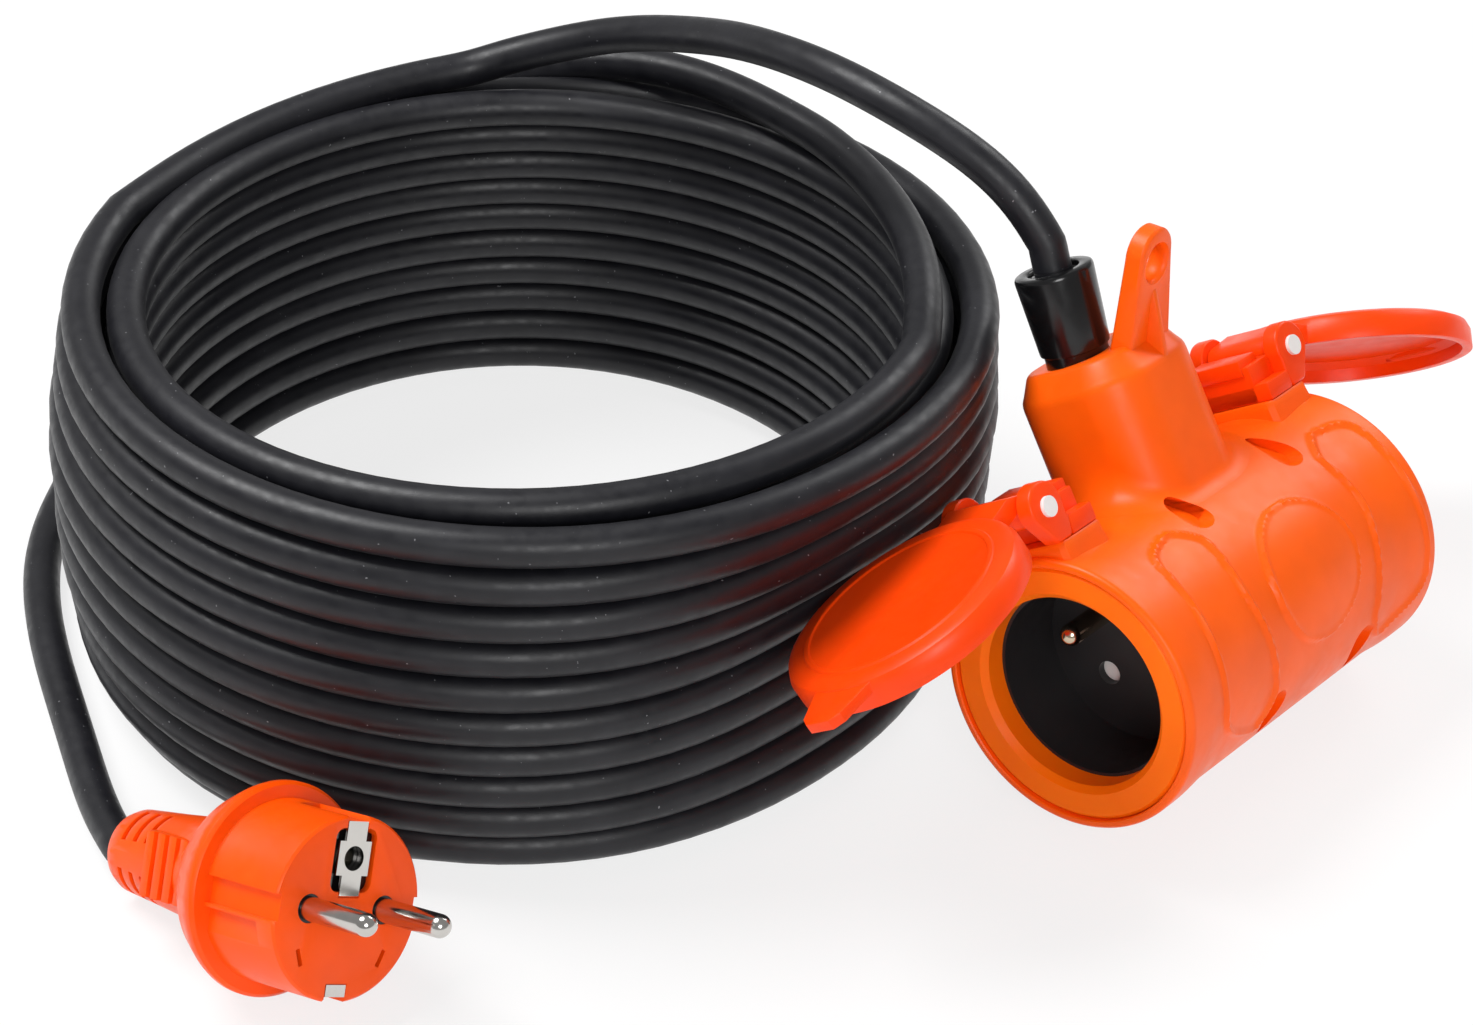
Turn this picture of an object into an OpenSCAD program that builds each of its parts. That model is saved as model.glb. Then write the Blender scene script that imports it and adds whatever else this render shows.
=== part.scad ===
// Outdoor extension cord: a two-way socket block with sprung-shuttered outlets
// and hinged lids, a coiled rubber cord and a moulded plug.
// Millimetres, +Z up. The block lies along Y and everything rests on z = 0.

/* [Socket block] */
// Radius of the round body
body_r = 29.4; // [27:0.1:36]
// Height of each open end's rim above the body
rim_step = 0.7; // [0.3:0.1:2]
// Length of the middle bay, between the two contact blocks
bay_length = 19; // [14:0.2:36]
// Length over which the body widens towards each end
rim_flare = 11; // [6:0.5:16]
// Thickness of the body's wall
body_wall = 3.8; // [2.5:0.1:5]
// How far the block is turned about its own axis
block_roll = 32.5; // [0:0.5:60]
// How far the front end is raised
block_pitch = 4; // [0:0.5:8]
// Radius of the raised pad on each side
pad_r = 15; // [10:0.5:16]
// Height of the raised pad
pad_height = 0.6; // [0.3:0.1:1.2]
// Height of each teardrop-shaped recess, across the block
drop_height = 7; // [5:0.2:9]
// Width of each teardrop-shaped recess, along the block
drop_width = 3.6; // [2:0.2:5]

/* [Neck and hanging eye] */
// Room across the inside of the square neck, past the cord
neck_room = 17.2; // [14.4:0.2:20]
// Corner radius of the neck
neck_corner = 8; // [4:0.5:9]
// Height of the neck's top above the body's surface
neck_rise = 29.6; // [24:0.2:36]
// Thickness of the neck's wall
neck_wall = 3.5; // [2.5:0.1:5]
// Thickness of the neck's top
neck_roof = 7; // [5:0.5:9]
// Height of the hanging eye's plate
eye_height = 26; // [22:0.5:32]
// Thickness of the eye's plate
eye_t = 4.3; // [3:0.1:6]
// Radius of the eye's hole
eye_hole_r = 3.8; // [2.5:0.1:4]
// Lean of the eye's plate from the neck
eye_lean = 31; // [0:0.5:40]

/* [Lids and hinges] */
// Radius of a lid's rim
lid_r = 27; // [25:0.1:27.4]
// Depth of a lid
lid_depth = 6.5; // [5:0.1:9]
// Thickness of a lid's wall
lid_wall = 2.3; // [1.5:0.1:3]
// How far the front lid stands open
front_lid_open = 73; // [0:1:73]
// How far the rear lid stands open
rear_lid_open = 64.5; // [0:0.5:100]
// Height of a hinge's axis above the end band
hinge_rise = 9.3; // [8:0.1:12]
// Distance of a hinge's axis from the end of the block
hinge_set_back = 1.8; // [1:0.1:3]
// Full width of a hinge bracket
hinge_w = 24.8; // [20:0.2:30]
// Thickness of each ear of a hinge bracket
ear_t = 4; // [3:0.1:5]
// Radius of a hinge pin
hinge_pin_r = 1.5; // [1.2:0.05:2]
// Reach of the lid's thumb tab past its rim
thumb_reach = 9; // [5:0.5:12]

/* [Outlets] */
// Distance between the two contact holes
pin_pitch = 19; // [18:0.1:20]
// Radius of a mating pin
pin_r = 2.4; // [2:0.05:2.6]
// Play of a mating pin in its hole in the insert
pin_hole_play = 0.25; // [0.2:0.05:0.6]
// Distance of the earth pin from the line between the holes
earth_offset = 10; // [9:0.1:11]
// Length of the earth pin above the recess floor
earth_reach = 14; // [12:0.5:16]
// Depth of the recess below the insert's rim
recess_depth = 17.5; // [16:0.1:20]
// Radius of the recess
recess_r = 20.4; // [20:0.1:21]
// Thickness of the recess floor
floor_t = 2; // [1.8:0.1:5]
// Turn of the contacts against the block
outlet_turn = 25; // [0:1:45]
// How far a resting shutter covers past the edge of a hole
shutter_overlap = 0.25; // [0.1:0.05:0.6]
// Thickness of a shutter
shutter_t = 2; // [1.5:0.1:2.5]
// Thickness of the block that holds the contacts
contact_block_t = 10.7; // [9:0.1:12]

/* [Plug] */
// Radius of the plug's front part
plug_r = 18.5; // [17:0.1:19]
// Depth from the face to the flange
plug_front = 21; // [18:0.5:24]
// Height of the flange above the front part
plug_flange_step = 3.2; // [1.5:0.1:5]
// Length from the face to the cord's entry
plug_length = 66; // [60:1:76]
// Length of a plug pin outside the face
plug_pin_reach = 19; // [17:0.5:20]
// Wall of the tail where the cord enters
tail_wall = 4.3; // [3:0.1:6]

/* [Cord] */
// Radius of the cord
cord_r = 4.1; // [3:0.1:5]
// Gap between neighbouring turns of the coil
turn_gap = 0.45; // [0.45:0.05:0.8]
// Gap between the outer layer of turns and the inner one
layer_gap = 1.2; // [0.8:0.1:4]
// Turns in the outer layer
outer_turns = 10.296; // [4:0.001:11]
// Turns in the inner layer
inner_turns = 10.496; // [4:0.001:11]
// Mean radius of the coil at its top
coil_r = 94; // [80:1:120]

/* [Hidden] */

$fn = 64;
eps = 0.01;
seat_gap = 0.05;      // between faces that are pushed together
fit_gap = 0.1;        // radial, between a fixed piece and its hole
pin_gap = 0.05;       // radial, between a pin and the hole it turns or slides in
loose_gap = 0.4;      // radial, between a moulding and the cavity that holds it

// Colours
housing_orange = [0.95, 0.38, 0.09];
signal_orange = [0.98, 0.29, 0.06];
bezel_orange = [0.98, 0.45, 0.10];
moulded_black = [0.10, 0.10, 0.11];
rubber_black = [0.13, 0.13, 0.14];
nickel = [0.78, 0.76, 0.72];
brass_tone = [0.80, 0.64, 0.32];
white_plastic = [0.93, 0.93, 0.92];
line_brown = [0.38, 0.22, 0.12];
neutral_blue = [0.10, 0.30, 0.70];
earth_green = [0.35, 0.65, 0.15];

// The block's stack, counted from the middle along +Y
cavity_r = body_r - body_wall;
rim_r = body_r + rim_step;
bezel_recess = 0.5;
bezel_flange = 4.3;
bezel_sleeve = 2;
bezel_r = rim_r - 2;
bezel_hole_r = recess_r + 0.7;
bezel_mouth_r = bezel_hole_r + 1.3;
shutter_slot = shutter_t + 0.3;
bay_half = bay_length / 2;
contact_front_y = bay_half + contact_block_t;
insert_back_y = contact_front_y + shutter_slot;
floor_y = insert_back_y + floor_t;
insert_rim_y = floor_y + recess_depth;
bezel_seat_y = insert_rim_y + bezel_sleeve;
half_length = bezel_seat_y + bezel_flange + bezel_recess;
insert_r = cavity_r - loose_gap;
bay_rib = 1.2;

// Contacts, in the outlet's own frame: X through both holes, Z towards the earth pin
contact_x = pin_pitch / 2;
pin_hole_r = pin_r + pin_hole_play;
pin_shank_r = pin_r - 0.35;
contact_bore_r = pin_r + pin_gap;
contact_outer_r = contact_bore_r + 1.15;
contact_seat = 0.7;
contact_length = contact_block_t - contact_seat + 2.5;
contact_slit = 0.9;
bar_t = 1.5;
bar_x = contact_x + contact_outer_r + seat_gap;
bar_w = 6;
terminal_w = 8;
terminal_d = 6;
wire_r = 0.8;
core_r = 1.25;
screw_r = 1.4;
screw_head_r = 2.2;
earth_end_y = bay_half - 0.5;
earth_bar_w = 5;
earth_terminal_h = 7;
shutter_window_r = pin_hole_r + 0.25;
shutter_travel = pin_hole_r + shutter_window_r + shutter_overlap;
shutter_half = contact_x + shutter_travel + 0.2;
shutter_w = 2 * shutter_window_r + 3.2;

// The block's place: the front end is raised, so the rear band's lowest point is on z = 0
block_x = 9.2;
block_y = 0.3;
block_z = rim_r * cos(block_pitch) + half_length * sin(block_pitch);

// Neck, gland and the cord's end inside it
neck_x = -0.5;
neck_top = body_r + neck_rise;
neck_chamfer = 5;
neck_cavity = 2 * cord_r + neck_room;
neck_w = neck_cavity + 2 * neck_wall;
gland_x = -1;
gland_y = -5;
gland_tilt = 7.5;
gland_length = 19.8;
gland_base_r = cord_r + 3.5;
gland_top_r = cord_r + 4.5;
gland_shank_r = gland_base_r - 0.7;
gland_shank = neck_roof + 1;
cord_hole_r = cord_r + fit_gap;
cord_end_depth = 24;
clamp_h = 8;
clamp_top = neck_roof + 8;
clamp_front = neck_cavity / 2 + gland_y - seat_gap;
clamp_back = cord_r + 2.4;
clamp_screw_x = cord_r + screw_r + 0.7;
clamp_w = 2 * (clamp_screw_x + 1.8);

// Hanging eye, on the neck's top
eye_x = neck_w / 2 - 3.5;
eye_y = 2.2;
eye_foot = 8;
eye_top_r = 6.3;
eye_hole_up = 18;

// Lids and hinges, in a frame at the hinge axis with Y outwards and the lid shut
hinge_y = half_length - hinge_set_back;
hinge_z = rim_r + hinge_rise;
lid_drop = hinge_z - 2.4;
lid_rim_y = hinge_set_back + 0.3;
lid_back_y = lid_rim_y + lid_depth;
lid_round = 2.6;
lid_arm_y = hinge_set_back + 0.5;
lid_arm_t = 4;
knuckle_r = 3.6;
knuckle_w = hinge_w - 2 * ear_t - 0.4;
ear_r = 4;
foot_top = rim_r + 1.4;
foot_depth = 14;
bracket_back = 13;
bracket_front = 4.2;
pin_head_r = 2.2;
pin_head_t = 0.8;

// Plug, in its own frame: pins towards -Y, earth hole up
plug_x = 53.9;
plug_y = -121.9;
plug_z = 28;
plug_turn = [0, 0, 85];
plug_lean = [-17, 0, 0];
plug_roll = [0, 28.3, 0];
plug_wall = 2.9;
plug_cavity_r = plug_r - plug_wall;
plug_flange_r = plug_r + plug_flange_step;
tail_r = cord_r + tail_wall;
plug_face_t = 1.6;
plug_cavity_end = plug_front + 1;
carrier_end = 12;
collar_r = pin_r + 0.45;
clip_t = 0.6;
clip_w = 5;
clip_leg = 14;
clip_top = plug_r - 1.2;
clip_bar_t = 1;
earth_sleeve_r = contact_bore_r + 0.8;
earth_sleeve_start = 3;
recess_w = 10.4;
recess_h = 12.6;
recess_mid = 9.6;
crimp_r = 1.7;
crimp_length = 6;
plug_core_end = 36;
grip_start = 33.5;
grip_end = 50.5;
grip_h = 13.2;
grip_w = 23;

// Coil: the turns slump outwards towards the far side near the floor
coil_heading = 37.28;
coil_from_block = [-130.2, -62.6];
coil_place = [block_x + coil_from_block[0], block_y + coil_from_block[1], 0];
outer_start = 110;
rings_per_turn = 24;
coil_sides = 6;
lead_sides = 10;
coil_pitch = 2 * cord_r + turn_gap;
layer_step = 2 * cord_r + layer_gap;
coil_turns = outer_turns + inner_turns;
coil_rings = round(coil_turns * rings_per_turn);
coil_top = cord_r + outer_turns * coil_pitch;
coil_belly = 4;
coil_shift = [-5, 16.7];
coil_spread = [-1.3, 8.3];
dent_depth = 9;
dent_heading = -44;
dent_width = 26;
step_start = -0.25;
step_length = 0.6;
cord_straight = 2 * cord_r;

// Routes of the free stretches, from the coil's centre on the floor
socket_lead_points = [
    [-65.5, 68, 96.5], [-54, 74.5, 101], [-41.5, 77.5, 106.5], [-28, 77, 111.5], [-15.5, 74.5, 116],
    [-3, 70.5, 121], [9.5, 66, 125], [22.5, 62, 128], [36, 59, 129.5], [50, 57.5, 128.5],
    [63.5, 58.5, 125], [76.5, 61.5, 118.5]
];
plug_lead_points = [
    [2.5, 87, 95.5], [-13, 90, 95.5], [-29, 91, 95], [-44.5, 89.5, 93.5], [-59.5, 85.5, 90.5],
    [-72.5, 79.5, 85], [-83.5, 72, 78], [-93.5, 64, 68.5], [-101.5, 56, 58.5], [-108, 47.5, 47.5],
    [-113.5, 38.5, 36], [-117, 27.5, 25.5], [-120, 15, 16.5], [-122.5, 1, 10], [-123, -13.5, 6],
    [-119.5, -28.5, 4.5], [-112, -42, 4.1], [-102, -53.5, 4.1], [-90.5, -63.5, 4.1], [-78.5, -73.5, 4.1],
    [-66, -82, 4.1], [-53, -90.5, 4.1], [-40.5, -99.5, 4.1], [-28.5, -109.5, 4.3]
];

// ---------- frames ----------

// Places children that are drawn in the block's own frame
module in_block() {
    translate([block_x, block_y, block_z])
        rotate([-block_pitch, 0, 0])
            rotate([0, -block_roll, 0])
                children();
}

// Draws children at the rear end, or mirrored at the front end
module at_end(end) {
    if (end == "front") mirror([0, 1, 0]) children();
    else children();
}

// Places children in an outlet's frame, X through both contact holes
module in_outlet() {
    rotate([0, -outlet_turn, 0]) children();
}

// Places children at a hinge axis, Y outwards
module at_hinge() {
    translate([0, hinge_y, hinge_z]) children();
}

// Places children at the foot of the gland, Z along the cord
module in_gland() {
    translate([gland_x, gland_y, neck_top]) rotate([0, gland_tilt, 0]) children();
}

// Places children that are drawn in the plug's own frame
module in_plug() {
    translate(coil_place + [plug_x, plug_y, plug_z])
        rotate(plug_turn) rotate(plug_lean) rotate(plug_roll)
            children();
}

// ---------- shared shapes ----------

// Cylinder along +Y from y0 to y1
module rod_y(r, y0, y1) {
    translate([0, y0, 0]) rotate([-90, 0, 0]) cylinder(r = r, h = y1 - y0);
}

// Cylinder along +X, centred
module rod_x(r, w) {
    rotate([0, 90, 0]) cylinder(r = r, h = w, center = true);
}

// Box between two opposite corners
module span(low, high) {
    translate(low) cube(high - low);
}

// Upright slab with round corners, centred on X and Y
module rounded_slab(w, d, h, r) {
    translate([-w / 2 + r, -d / 2, 0]) cube([w - 2 * r, d, h]);
    translate([-w / 2, -d / 2 + r, 0]) cube([w, d - 2 * r, h]);
    for (sx = [-1, 1], sy = [-1, 1])
        translate([sx * (w / 2 - r), sy * (d / 2 - r), 0]) cylinder(r = r, h = h, $fn = 32);
}

// Solid of revolution about Y from points [radius, y]
module turned_y(profile) {
    rotate([-90, 0, 0]) mirror([0, 1, 0]) rotate_extrude() polygon(profile);
}

// ---------- socket block ----------

// Outer shape of the round body, which widens softly to its two rims
module body_shape() {
    lip = 1.2;
    flare_end = half_length - 5;
    half = [
        for (i = [0:4]) [body_r + rim_step * smooth(i / 4), flare_end - rim_flare * (1 - i / 4)],
        [rim_r, half_length - lip], [rim_r - 0.3 * lip, half_length - 0.3 * lip], [rim_r - lip, half_length],
        [0, half_length]
    ];
    turned_y(concat([for (i = [len(half) - 1:-1:0]) [half[i][0], -half[i][1]]], half));
}

// Square neck with a flared foot and a chamfered top
module neck_shape() {
    flare_top = body_r + 10.6;
    flare_mid = body_r + 4.6;
    flare_foot = body_r - 5.4;
    translate([neck_x, 0, 0]) {
        translate([0, 0, flare_foot]) rounded_slab(neck_w, neck_w, neck_top - neck_chamfer - flare_foot, neck_corner);
        hull() {
            translate([0, 0, neck_top - neck_chamfer - eps]) rounded_slab(neck_w, neck_w, eps, neck_corner);
            translate([0, 0, neck_top - 1]) rounded_slab(neck_w - 3.4, neck_w - 3.4, eps, neck_corner - 1);
            translate([0, 0, neck_top - eps]) rounded_slab(neck_w - 6, neck_w - 6, eps, neck_corner - 2);
        }
        hull() {
            translate([0, 0, flare_top]) rounded_slab(neck_w, neck_w, eps, neck_corner);
            translate([0, 0, flare_mid]) rounded_slab(neck_w + 3, neck_w + 3, eps, neck_corner + 1);
        }
        hull() {
            translate([0, 0, flare_mid]) rounded_slab(neck_w + 3, neck_w + 3, eps, neck_corner + 1);
            translate([0, 0, flare_foot]) rounded_slab(neck_w + 10, neck_w + 16, eps, neck_corner + 3);
        }
    }
}

// Plate of the hanging eye with its gusset, without the hole
module eye_plate() {
    round_up = eye_height - eye_top_r;
    gusset_w = 3;
    rotate([90, 0, -90])
        linear_extrude(eye_t)
            polygon([
                [-eye_foot, -3], [eye_foot, -3], [eye_top_r + 0.1, round_up - 1], [-eye_top_r - 0.1, round_up - 1]
            ]);
    translate([-eye_t, 0, round_up]) rotate([0, 90, 0]) cylinder(r = eye_top_r, h = eye_t);
    translate([0, gusset_w / 2, 0]) rotate([90, 0, 0])
        linear_extrude(gusset_w) polygon([[-1, -2], [4.6, -2], [0, 11], [-1, 11]]);
}

// Places children at the foot of the hanging eye, its outer face on X = 0
module at_eye() {
    translate([eye_x, eye_y, neck_top - 2]) rotate([0, eye_lean, 0]) children();
}

// Teardrop-shaped cut: an oval hole along X that ends at an even depth under the round side
module drop_cut(angle, y) {
    depth = 2.4;
    sides = 20;
    start_x = body_r * sin(angle) - drop_height;
    intersection() {
        translate([start_x, y, body_r * cos(angle)]) rotate([90, 0, 90])
            linear_extrude(body_r)
                polygon([for (i = [0:sides - 1]) [drop_width / 2 * cos(360 * i / sides), drop_height / 2 * sin(360 * i / sides)]]);
        difference() {
            rod_y(body_r + 2, y - drop_width, y + drop_width);
            rod_y(body_r - depth, y - drop_width - 1, y + drop_width + 1);
        }
    }
}

module socket_housing() {
    pad_turn = 87.5;
    feature_y = 4.5;
    drop_y = 17.5;
    color(housing_orange)
        in_block()
            difference() {
                union() {
                    body_shape();
                    neck_shape();
                    at_eye() eye_plate();
                    for (side = [-1, 1])
                        intersection() {
                            rod_y(body_r + pad_height, feature_y - pad_r, feature_y + pad_r);
                            rotate([0, side * pad_turn, 0]) translate([0, feature_y, 0]) cylinder(r = pad_r, h = body_r + 5);
                        }
                    for (end = ["front", "rear"])
                        at_end(end)
                            span([-hinge_w / 2, hinge_y - foot_depth, cavity_r], [hinge_w / 2, hinge_y, foot_top]);
                }
                rod_y(cavity_r - bay_rib, -half_length, half_length);
                for (end = ["front", "rear"])
                    at_end(end) {
                        rod_y(cavity_r, bay_half, half_length);
                        rod_y(bezel_r + fit_gap, bezel_seat_y, half_length + 1);
                    }
                translate([neck_x, 0, 0])
                    span([-neck_cavity / 2, -neck_cavity / 2, 0], [neck_cavity / 2, neck_cavity / 2, neck_top - neck_roof]);
                in_gland() translate([0, 0, -neck_roof - 4]) cylinder(r = gland_shank_r + fit_gap, h = neck_roof + 8);
                at_eye() translate([-eye_t - 1, 0, eye_hole_up]) rotate([0, 90, 0]) cylinder(r = eye_hole_r, h = eye_t + 2);
                for (side = [0, 1], angle = [37, 143], y = [-drop_y, drop_y])
                    mirror([side, 0, 0]) drop_cut(angle, feature_y + y);
            }
}

module cable_gland() {
    step_h = 2.2;
    edge = 0.6;
    color(moulded_black)
        in_block() in_gland()
            difference() {
                union() {
                    translate([0, 0, -gland_shank]) cylinder(r = gland_shank_r, h = gland_shank + step_h);
                    translate([0, 0, step_h])
                        cylinder(r1 = gland_base_r, r2 = gland_top_r, h = gland_length - step_h - edge);
                    translate([0, 0, gland_length - edge])
                        cylinder(r1 = gland_top_r, r2 = gland_top_r - edge, h = edge);
                }
                translate([0, 0, -gland_shank - 1]) cylinder(r = cord_hole_r, h = gland_shank + gland_length + 2);
            }
}

// ---------- outlets ----------

module bezel(end) {
    sleeve_r = insert_r;
    color(bezel_orange)
        in_block() at_end(end)
            turned_y([
                [bezel_hole_r, insert_rim_y], [sleeve_r, insert_rim_y], [sleeve_r, bezel_seat_y],
                [bezel_r, bezel_seat_y], [bezel_r, half_length - bezel_recess - 0.8],
                [bezel_r - 0.8, half_length - bezel_recess], [bezel_mouth_r, half_length - bezel_recess],
                [bezel_hole_r, half_length - bezel_recess - 1.4]
            ]);
}

// Wall of the recess
module insert(end) {
    color(moulded_black)
        in_block() at_end(end)
            difference() {
                rod_y(insert_r, floor_y + seat_gap, insert_rim_y);
                rod_y(recess_r, floor_y - 1, insert_rim_y + 1);
            }
}

// Floor of the recess, with the holes for the pins
module face_plate(end) {
    color(moulded_black)
        in_block() at_end(end)
            difference() {
                rod_y(insert_r, insert_back_y, floor_y);
                in_outlet() {
                    for (side = [-1, 1])
                        translate([side * contact_x, 0, 0]) rod_y(pin_hole_r, insert_back_y - 1, floor_y + 1);
                    translate([0, 0, earth_offset]) rod_y(pin_shank_r + fit_gap, insert_back_y - 1, floor_y + 1);
                }
            }
}

// Earth pin on a thinner shank that goes through the face plate
module earth_pin(end) {
    dome_y = floor_y + earth_reach - pin_r;
    color(brass_tone)
        in_block() at_end(end) in_outlet()
            translate([0, 0, earth_offset]) {
                rod_y(pin_shank_r, earth_end_y, floor_y + seat_gap + eps);
                rod_y(pin_r, floor_y + seat_gap, dome_y);
                translate([0, dome_y, 0]) sphere(r = pin_r, $fn = 48);
            }
}

module shutter(end) {
    low = contact_front_y + 0.15;
    color(white_plastic)
        in_block() at_end(end) in_outlet()
            difference() {
                span([-shutter_half, low, -shutter_w / 2], [shutter_half, low + shutter_t, shutter_w / 2]);
                for (side = [-1, 1])
                    translate([side * contact_x + shutter_travel, 0, 0])
                        rod_y(shutter_window_r, low - 1, low + shutter_t + 1);
            }
}

module contact_block(end) {
    slot_w = bar_w / 2 + 0.6;
    color(moulded_black)
        in_block() at_end(end)
            difference() {
                union() {
                    rod_y(insert_r, bay_half, contact_front_y);
                    difference() {
                        rod_y(insert_r, contact_front_y - eps, insert_back_y);
                        rod_y(insert_r - 1.7, contact_front_y - 1, insert_back_y + 1);
                    }
                }
                in_outlet() {
                    for (side = [-1, 1]) {
                        translate([side * contact_x, 0, 0]) {
                            rod_y(pin_hole_r, contact_front_y - contact_seat - eps, contact_front_y + 1);
                            rod_y(contact_outer_r + fit_gap, bay_half - 1, contact_front_y - contact_seat);
                        }
                        mirror([side < 0 ? 1 : 0, 0, 0])
                            span([contact_x, bay_half - 1, -slot_w], [bar_x + bar_t + 0.3, contact_front_y - 2, slot_w]);
                    }
                    translate([0, 0, earth_offset]) rod_y(pin_shank_r + fit_gap, bay_half - 1, contact_front_y + 1);
                }
            }
}

// Slit sleeve that a mating pin slides into
module contact(end, side) {
    top = contact_front_y - contact_seat;
    color(brass_tone)
        in_block() at_end(end) in_outlet()
            translate([side * contact_x, 0, 0])
                difference() {
                    rod_y(contact_outer_r, top - contact_length, top);
                    rod_y(contact_bore_r, top - contact_length - 1, top + 1);
                    span([-contact_slit / 2, top - contact_length + 3, 0], [contact_slit / 2, top + 1, contact_outer_r + 1]);
                }
}

// Bar that joins a pole's two contacts, with its terminal
module bus_bar(side) {
    reach = contact_front_y - 3;
    color(brass_tone)
        in_block() in_outlet() mirror([side < 0 ? 1 : 0, 0, 0])
            difference() {
                union() {
                    span([bar_x, -reach, -bar_w / 2], [bar_x + bar_t, reach, bar_w / 2]);
                    span([bar_x + eps - terminal_w, -terminal_d / 2, -4], [bar_x + eps, terminal_d / 2, 4]);
                }
                translate([contact_x, 0, -1]) cylinder(r = wire_r + 0.2, h = 6, $fn = 24);
                translate([contact_x, 0, 0]) rod_y(screw_r + pin_gap, 0, terminal_d);
            }
}

module earth_bus_bar() {
    color(brass_tone)
        in_block() in_outlet()
            translate([0, 0, earth_offset])
                difference() {
                    union() {
                        span([-earth_bar_w / 2, -earth_end_y, -1.5], [earth_bar_w / 2, earth_end_y, 1.5]);
                        span([-terminal_w / 2, -terminal_d / 2, -1.5], [terminal_w / 2, terminal_d / 2, earth_terminal_h]);
                    }
                    translate([0, 0, 2]) cylinder(r = wire_r + 0.2, h = 6, $fn = 24);
                    translate([0, 0, 4]) rod_y(screw_r + pin_gap, 0, terminal_d);
                }
}

// Cheese-head screw along -Y, its head's seat at y = 0
module cheese_screw(length) {
    rod_y(screw_r, -length, 0.1);
    difference() {
        rod_y(screw_head_r, 0, 1.4);
        span([-0.3, 0.7, -3], [0.3, 2, 3]);
    }
}

module terminal_screws() {
    length = terminal_d / 2 - wire_r - 0.3;
    color(nickel)
        in_block() in_outlet() {
            for (side = [-1, 1])
                translate([side * contact_x, terminal_d / 2, 0]) cheese_screw(length);
            translate([0, terminal_d / 2, earth_offset + 4]) cheese_screw(length);
        }
}

// ---------- cord inside the neck ----------

module socket_cord_end() {
    color(rubber_black)
        in_block() in_gland()
            translate([0, 0, -cord_end_depth]) cylinder(r = cord_r, h = cord_end_depth + gland_length);
}

module cord_clamp() {
    color(moulded_black)
        in_block() in_gland()
            difference() {
                span([-clamp_w / 2, -clamp_front, -clamp_top - clamp_h], [clamp_w / 2, clamp_back, -clamp_top]);
                translate([0, 0, -clamp_top - clamp_h - 1]) cylinder(r = cord_r + pin_gap, h = clamp_h + 2);
                for (side = [-1, 1])
                    translate([side * clamp_screw_x, 0, -clamp_top - clamp_h / 2])
                        rod_y(screw_r + pin_gap, -clamp_front + 1, clamp_back + 1);
            }
}

module cord_clamp_screws() {
    color(nickel)
        in_block() in_gland()
            for (side = [-1, 1])
                translate([side * clamp_screw_x, clamp_back, -clamp_top - clamp_h / 2])
                    cheese_screw(clamp_back + clamp_front - 1.5);
}

// Point below the gland in an outlet's frame: depth down the cord, moved sideways by dx and dy
function below_gland(depth, dx, dy) =
    let (
        x = gland_x - depth * sin(gland_tilt) + dx * cos(gland_tilt),
        z = neck_top - depth * cos(gland_tilt) - dx * sin(gland_tilt),
        c = cos(outlet_turn),
        s = sin(outlet_turn)
    )
    [x * c + z * s, gland_y + dy, z * c - x * s];

// One insulated core from the cord's end to the top of a terminal, with its bared end
module core(tone, dx, dy, bends, target) {
    line = concat(
        [below_gland(cord_end_depth, dx, dy), below_gland(cord_end_depth + 2, dx, dy)],
        bends,
        [target + [0, 0, 3], target + [0, 0, 0.1]]
    );
    color(tone)
        in_block() in_outlet() {
            tube(line, 8, core_r);
            translate(target - [0, 0, 3.4]) cylinder(r = wire_r, h = 3.6, $fn = 24);
        }
}

module line_core() {
    core(line_brown, -2, -1.2, [[6, -5, 25], [-3, -4, 20], [-contact_x + 1, -1, 13]], [-contact_x, 0, 4]);
}

module neutral_core() {
    core(neutral_blue, 2, -1.2, [[contact_x + 3.5, -4, 24], [contact_x + 1, -1, 13]], [contact_x, 0, 4]);
}

module earth_core() {
    core(earth_green, 0, 2, [[8, -1, 27], [1.5, 0, 23.5]], [0, 0, earth_offset + earth_terminal_h]);
}

// ---------- hinges and lids ----------

module hinge_bracket(end) {
    base = foot_top - hinge_z;
    color(signal_orange)
        in_block() at_end(end) at_hinge()
            difference() {
                union() {
                    for (side = [-1, 1])
                        translate([side * (hinge_w - ear_t) / 2, 0, 0]) {
                            rod_x(ear_r, ear_t);
                            rotate([90, 0, 90]) translate([0, 0, -ear_t / 2])
                                linear_extrude(ear_t)
                                    polygon([
                                        [-1, base], [-bracket_back, base], [-bracket_back, base + 3.6],
                                        [-bracket_back + 4, -0.6], [-2.4, ear_r - 0.8], [3.2, -2.4]
                                    ]);
                        }
                    span([-hinge_w / 2 + ear_t - eps, -bracket_back, base], [hinge_w / 2 - ear_t + eps, -bracket_front, 0.4]);
                    span([-7.5, -bracket_back - 0.6, -1.5], [7.5, -bracket_front - 2.4, 2.2]);
                }
                rod_x(hinge_pin_r + pin_gap, hinge_w + 2);
            }
}

module hinge_pin(end) {
    color(white_plastic)
        in_block() at_end(end) at_hinge() {
            rod_x(hinge_pin_r, hinge_w + 1);
            for (side = [-1, 1])
                translate([side * (hinge_w + pin_head_t) / 2, 0, 0]) rod_x(pin_head_r, pin_head_t);
        }
}

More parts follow.
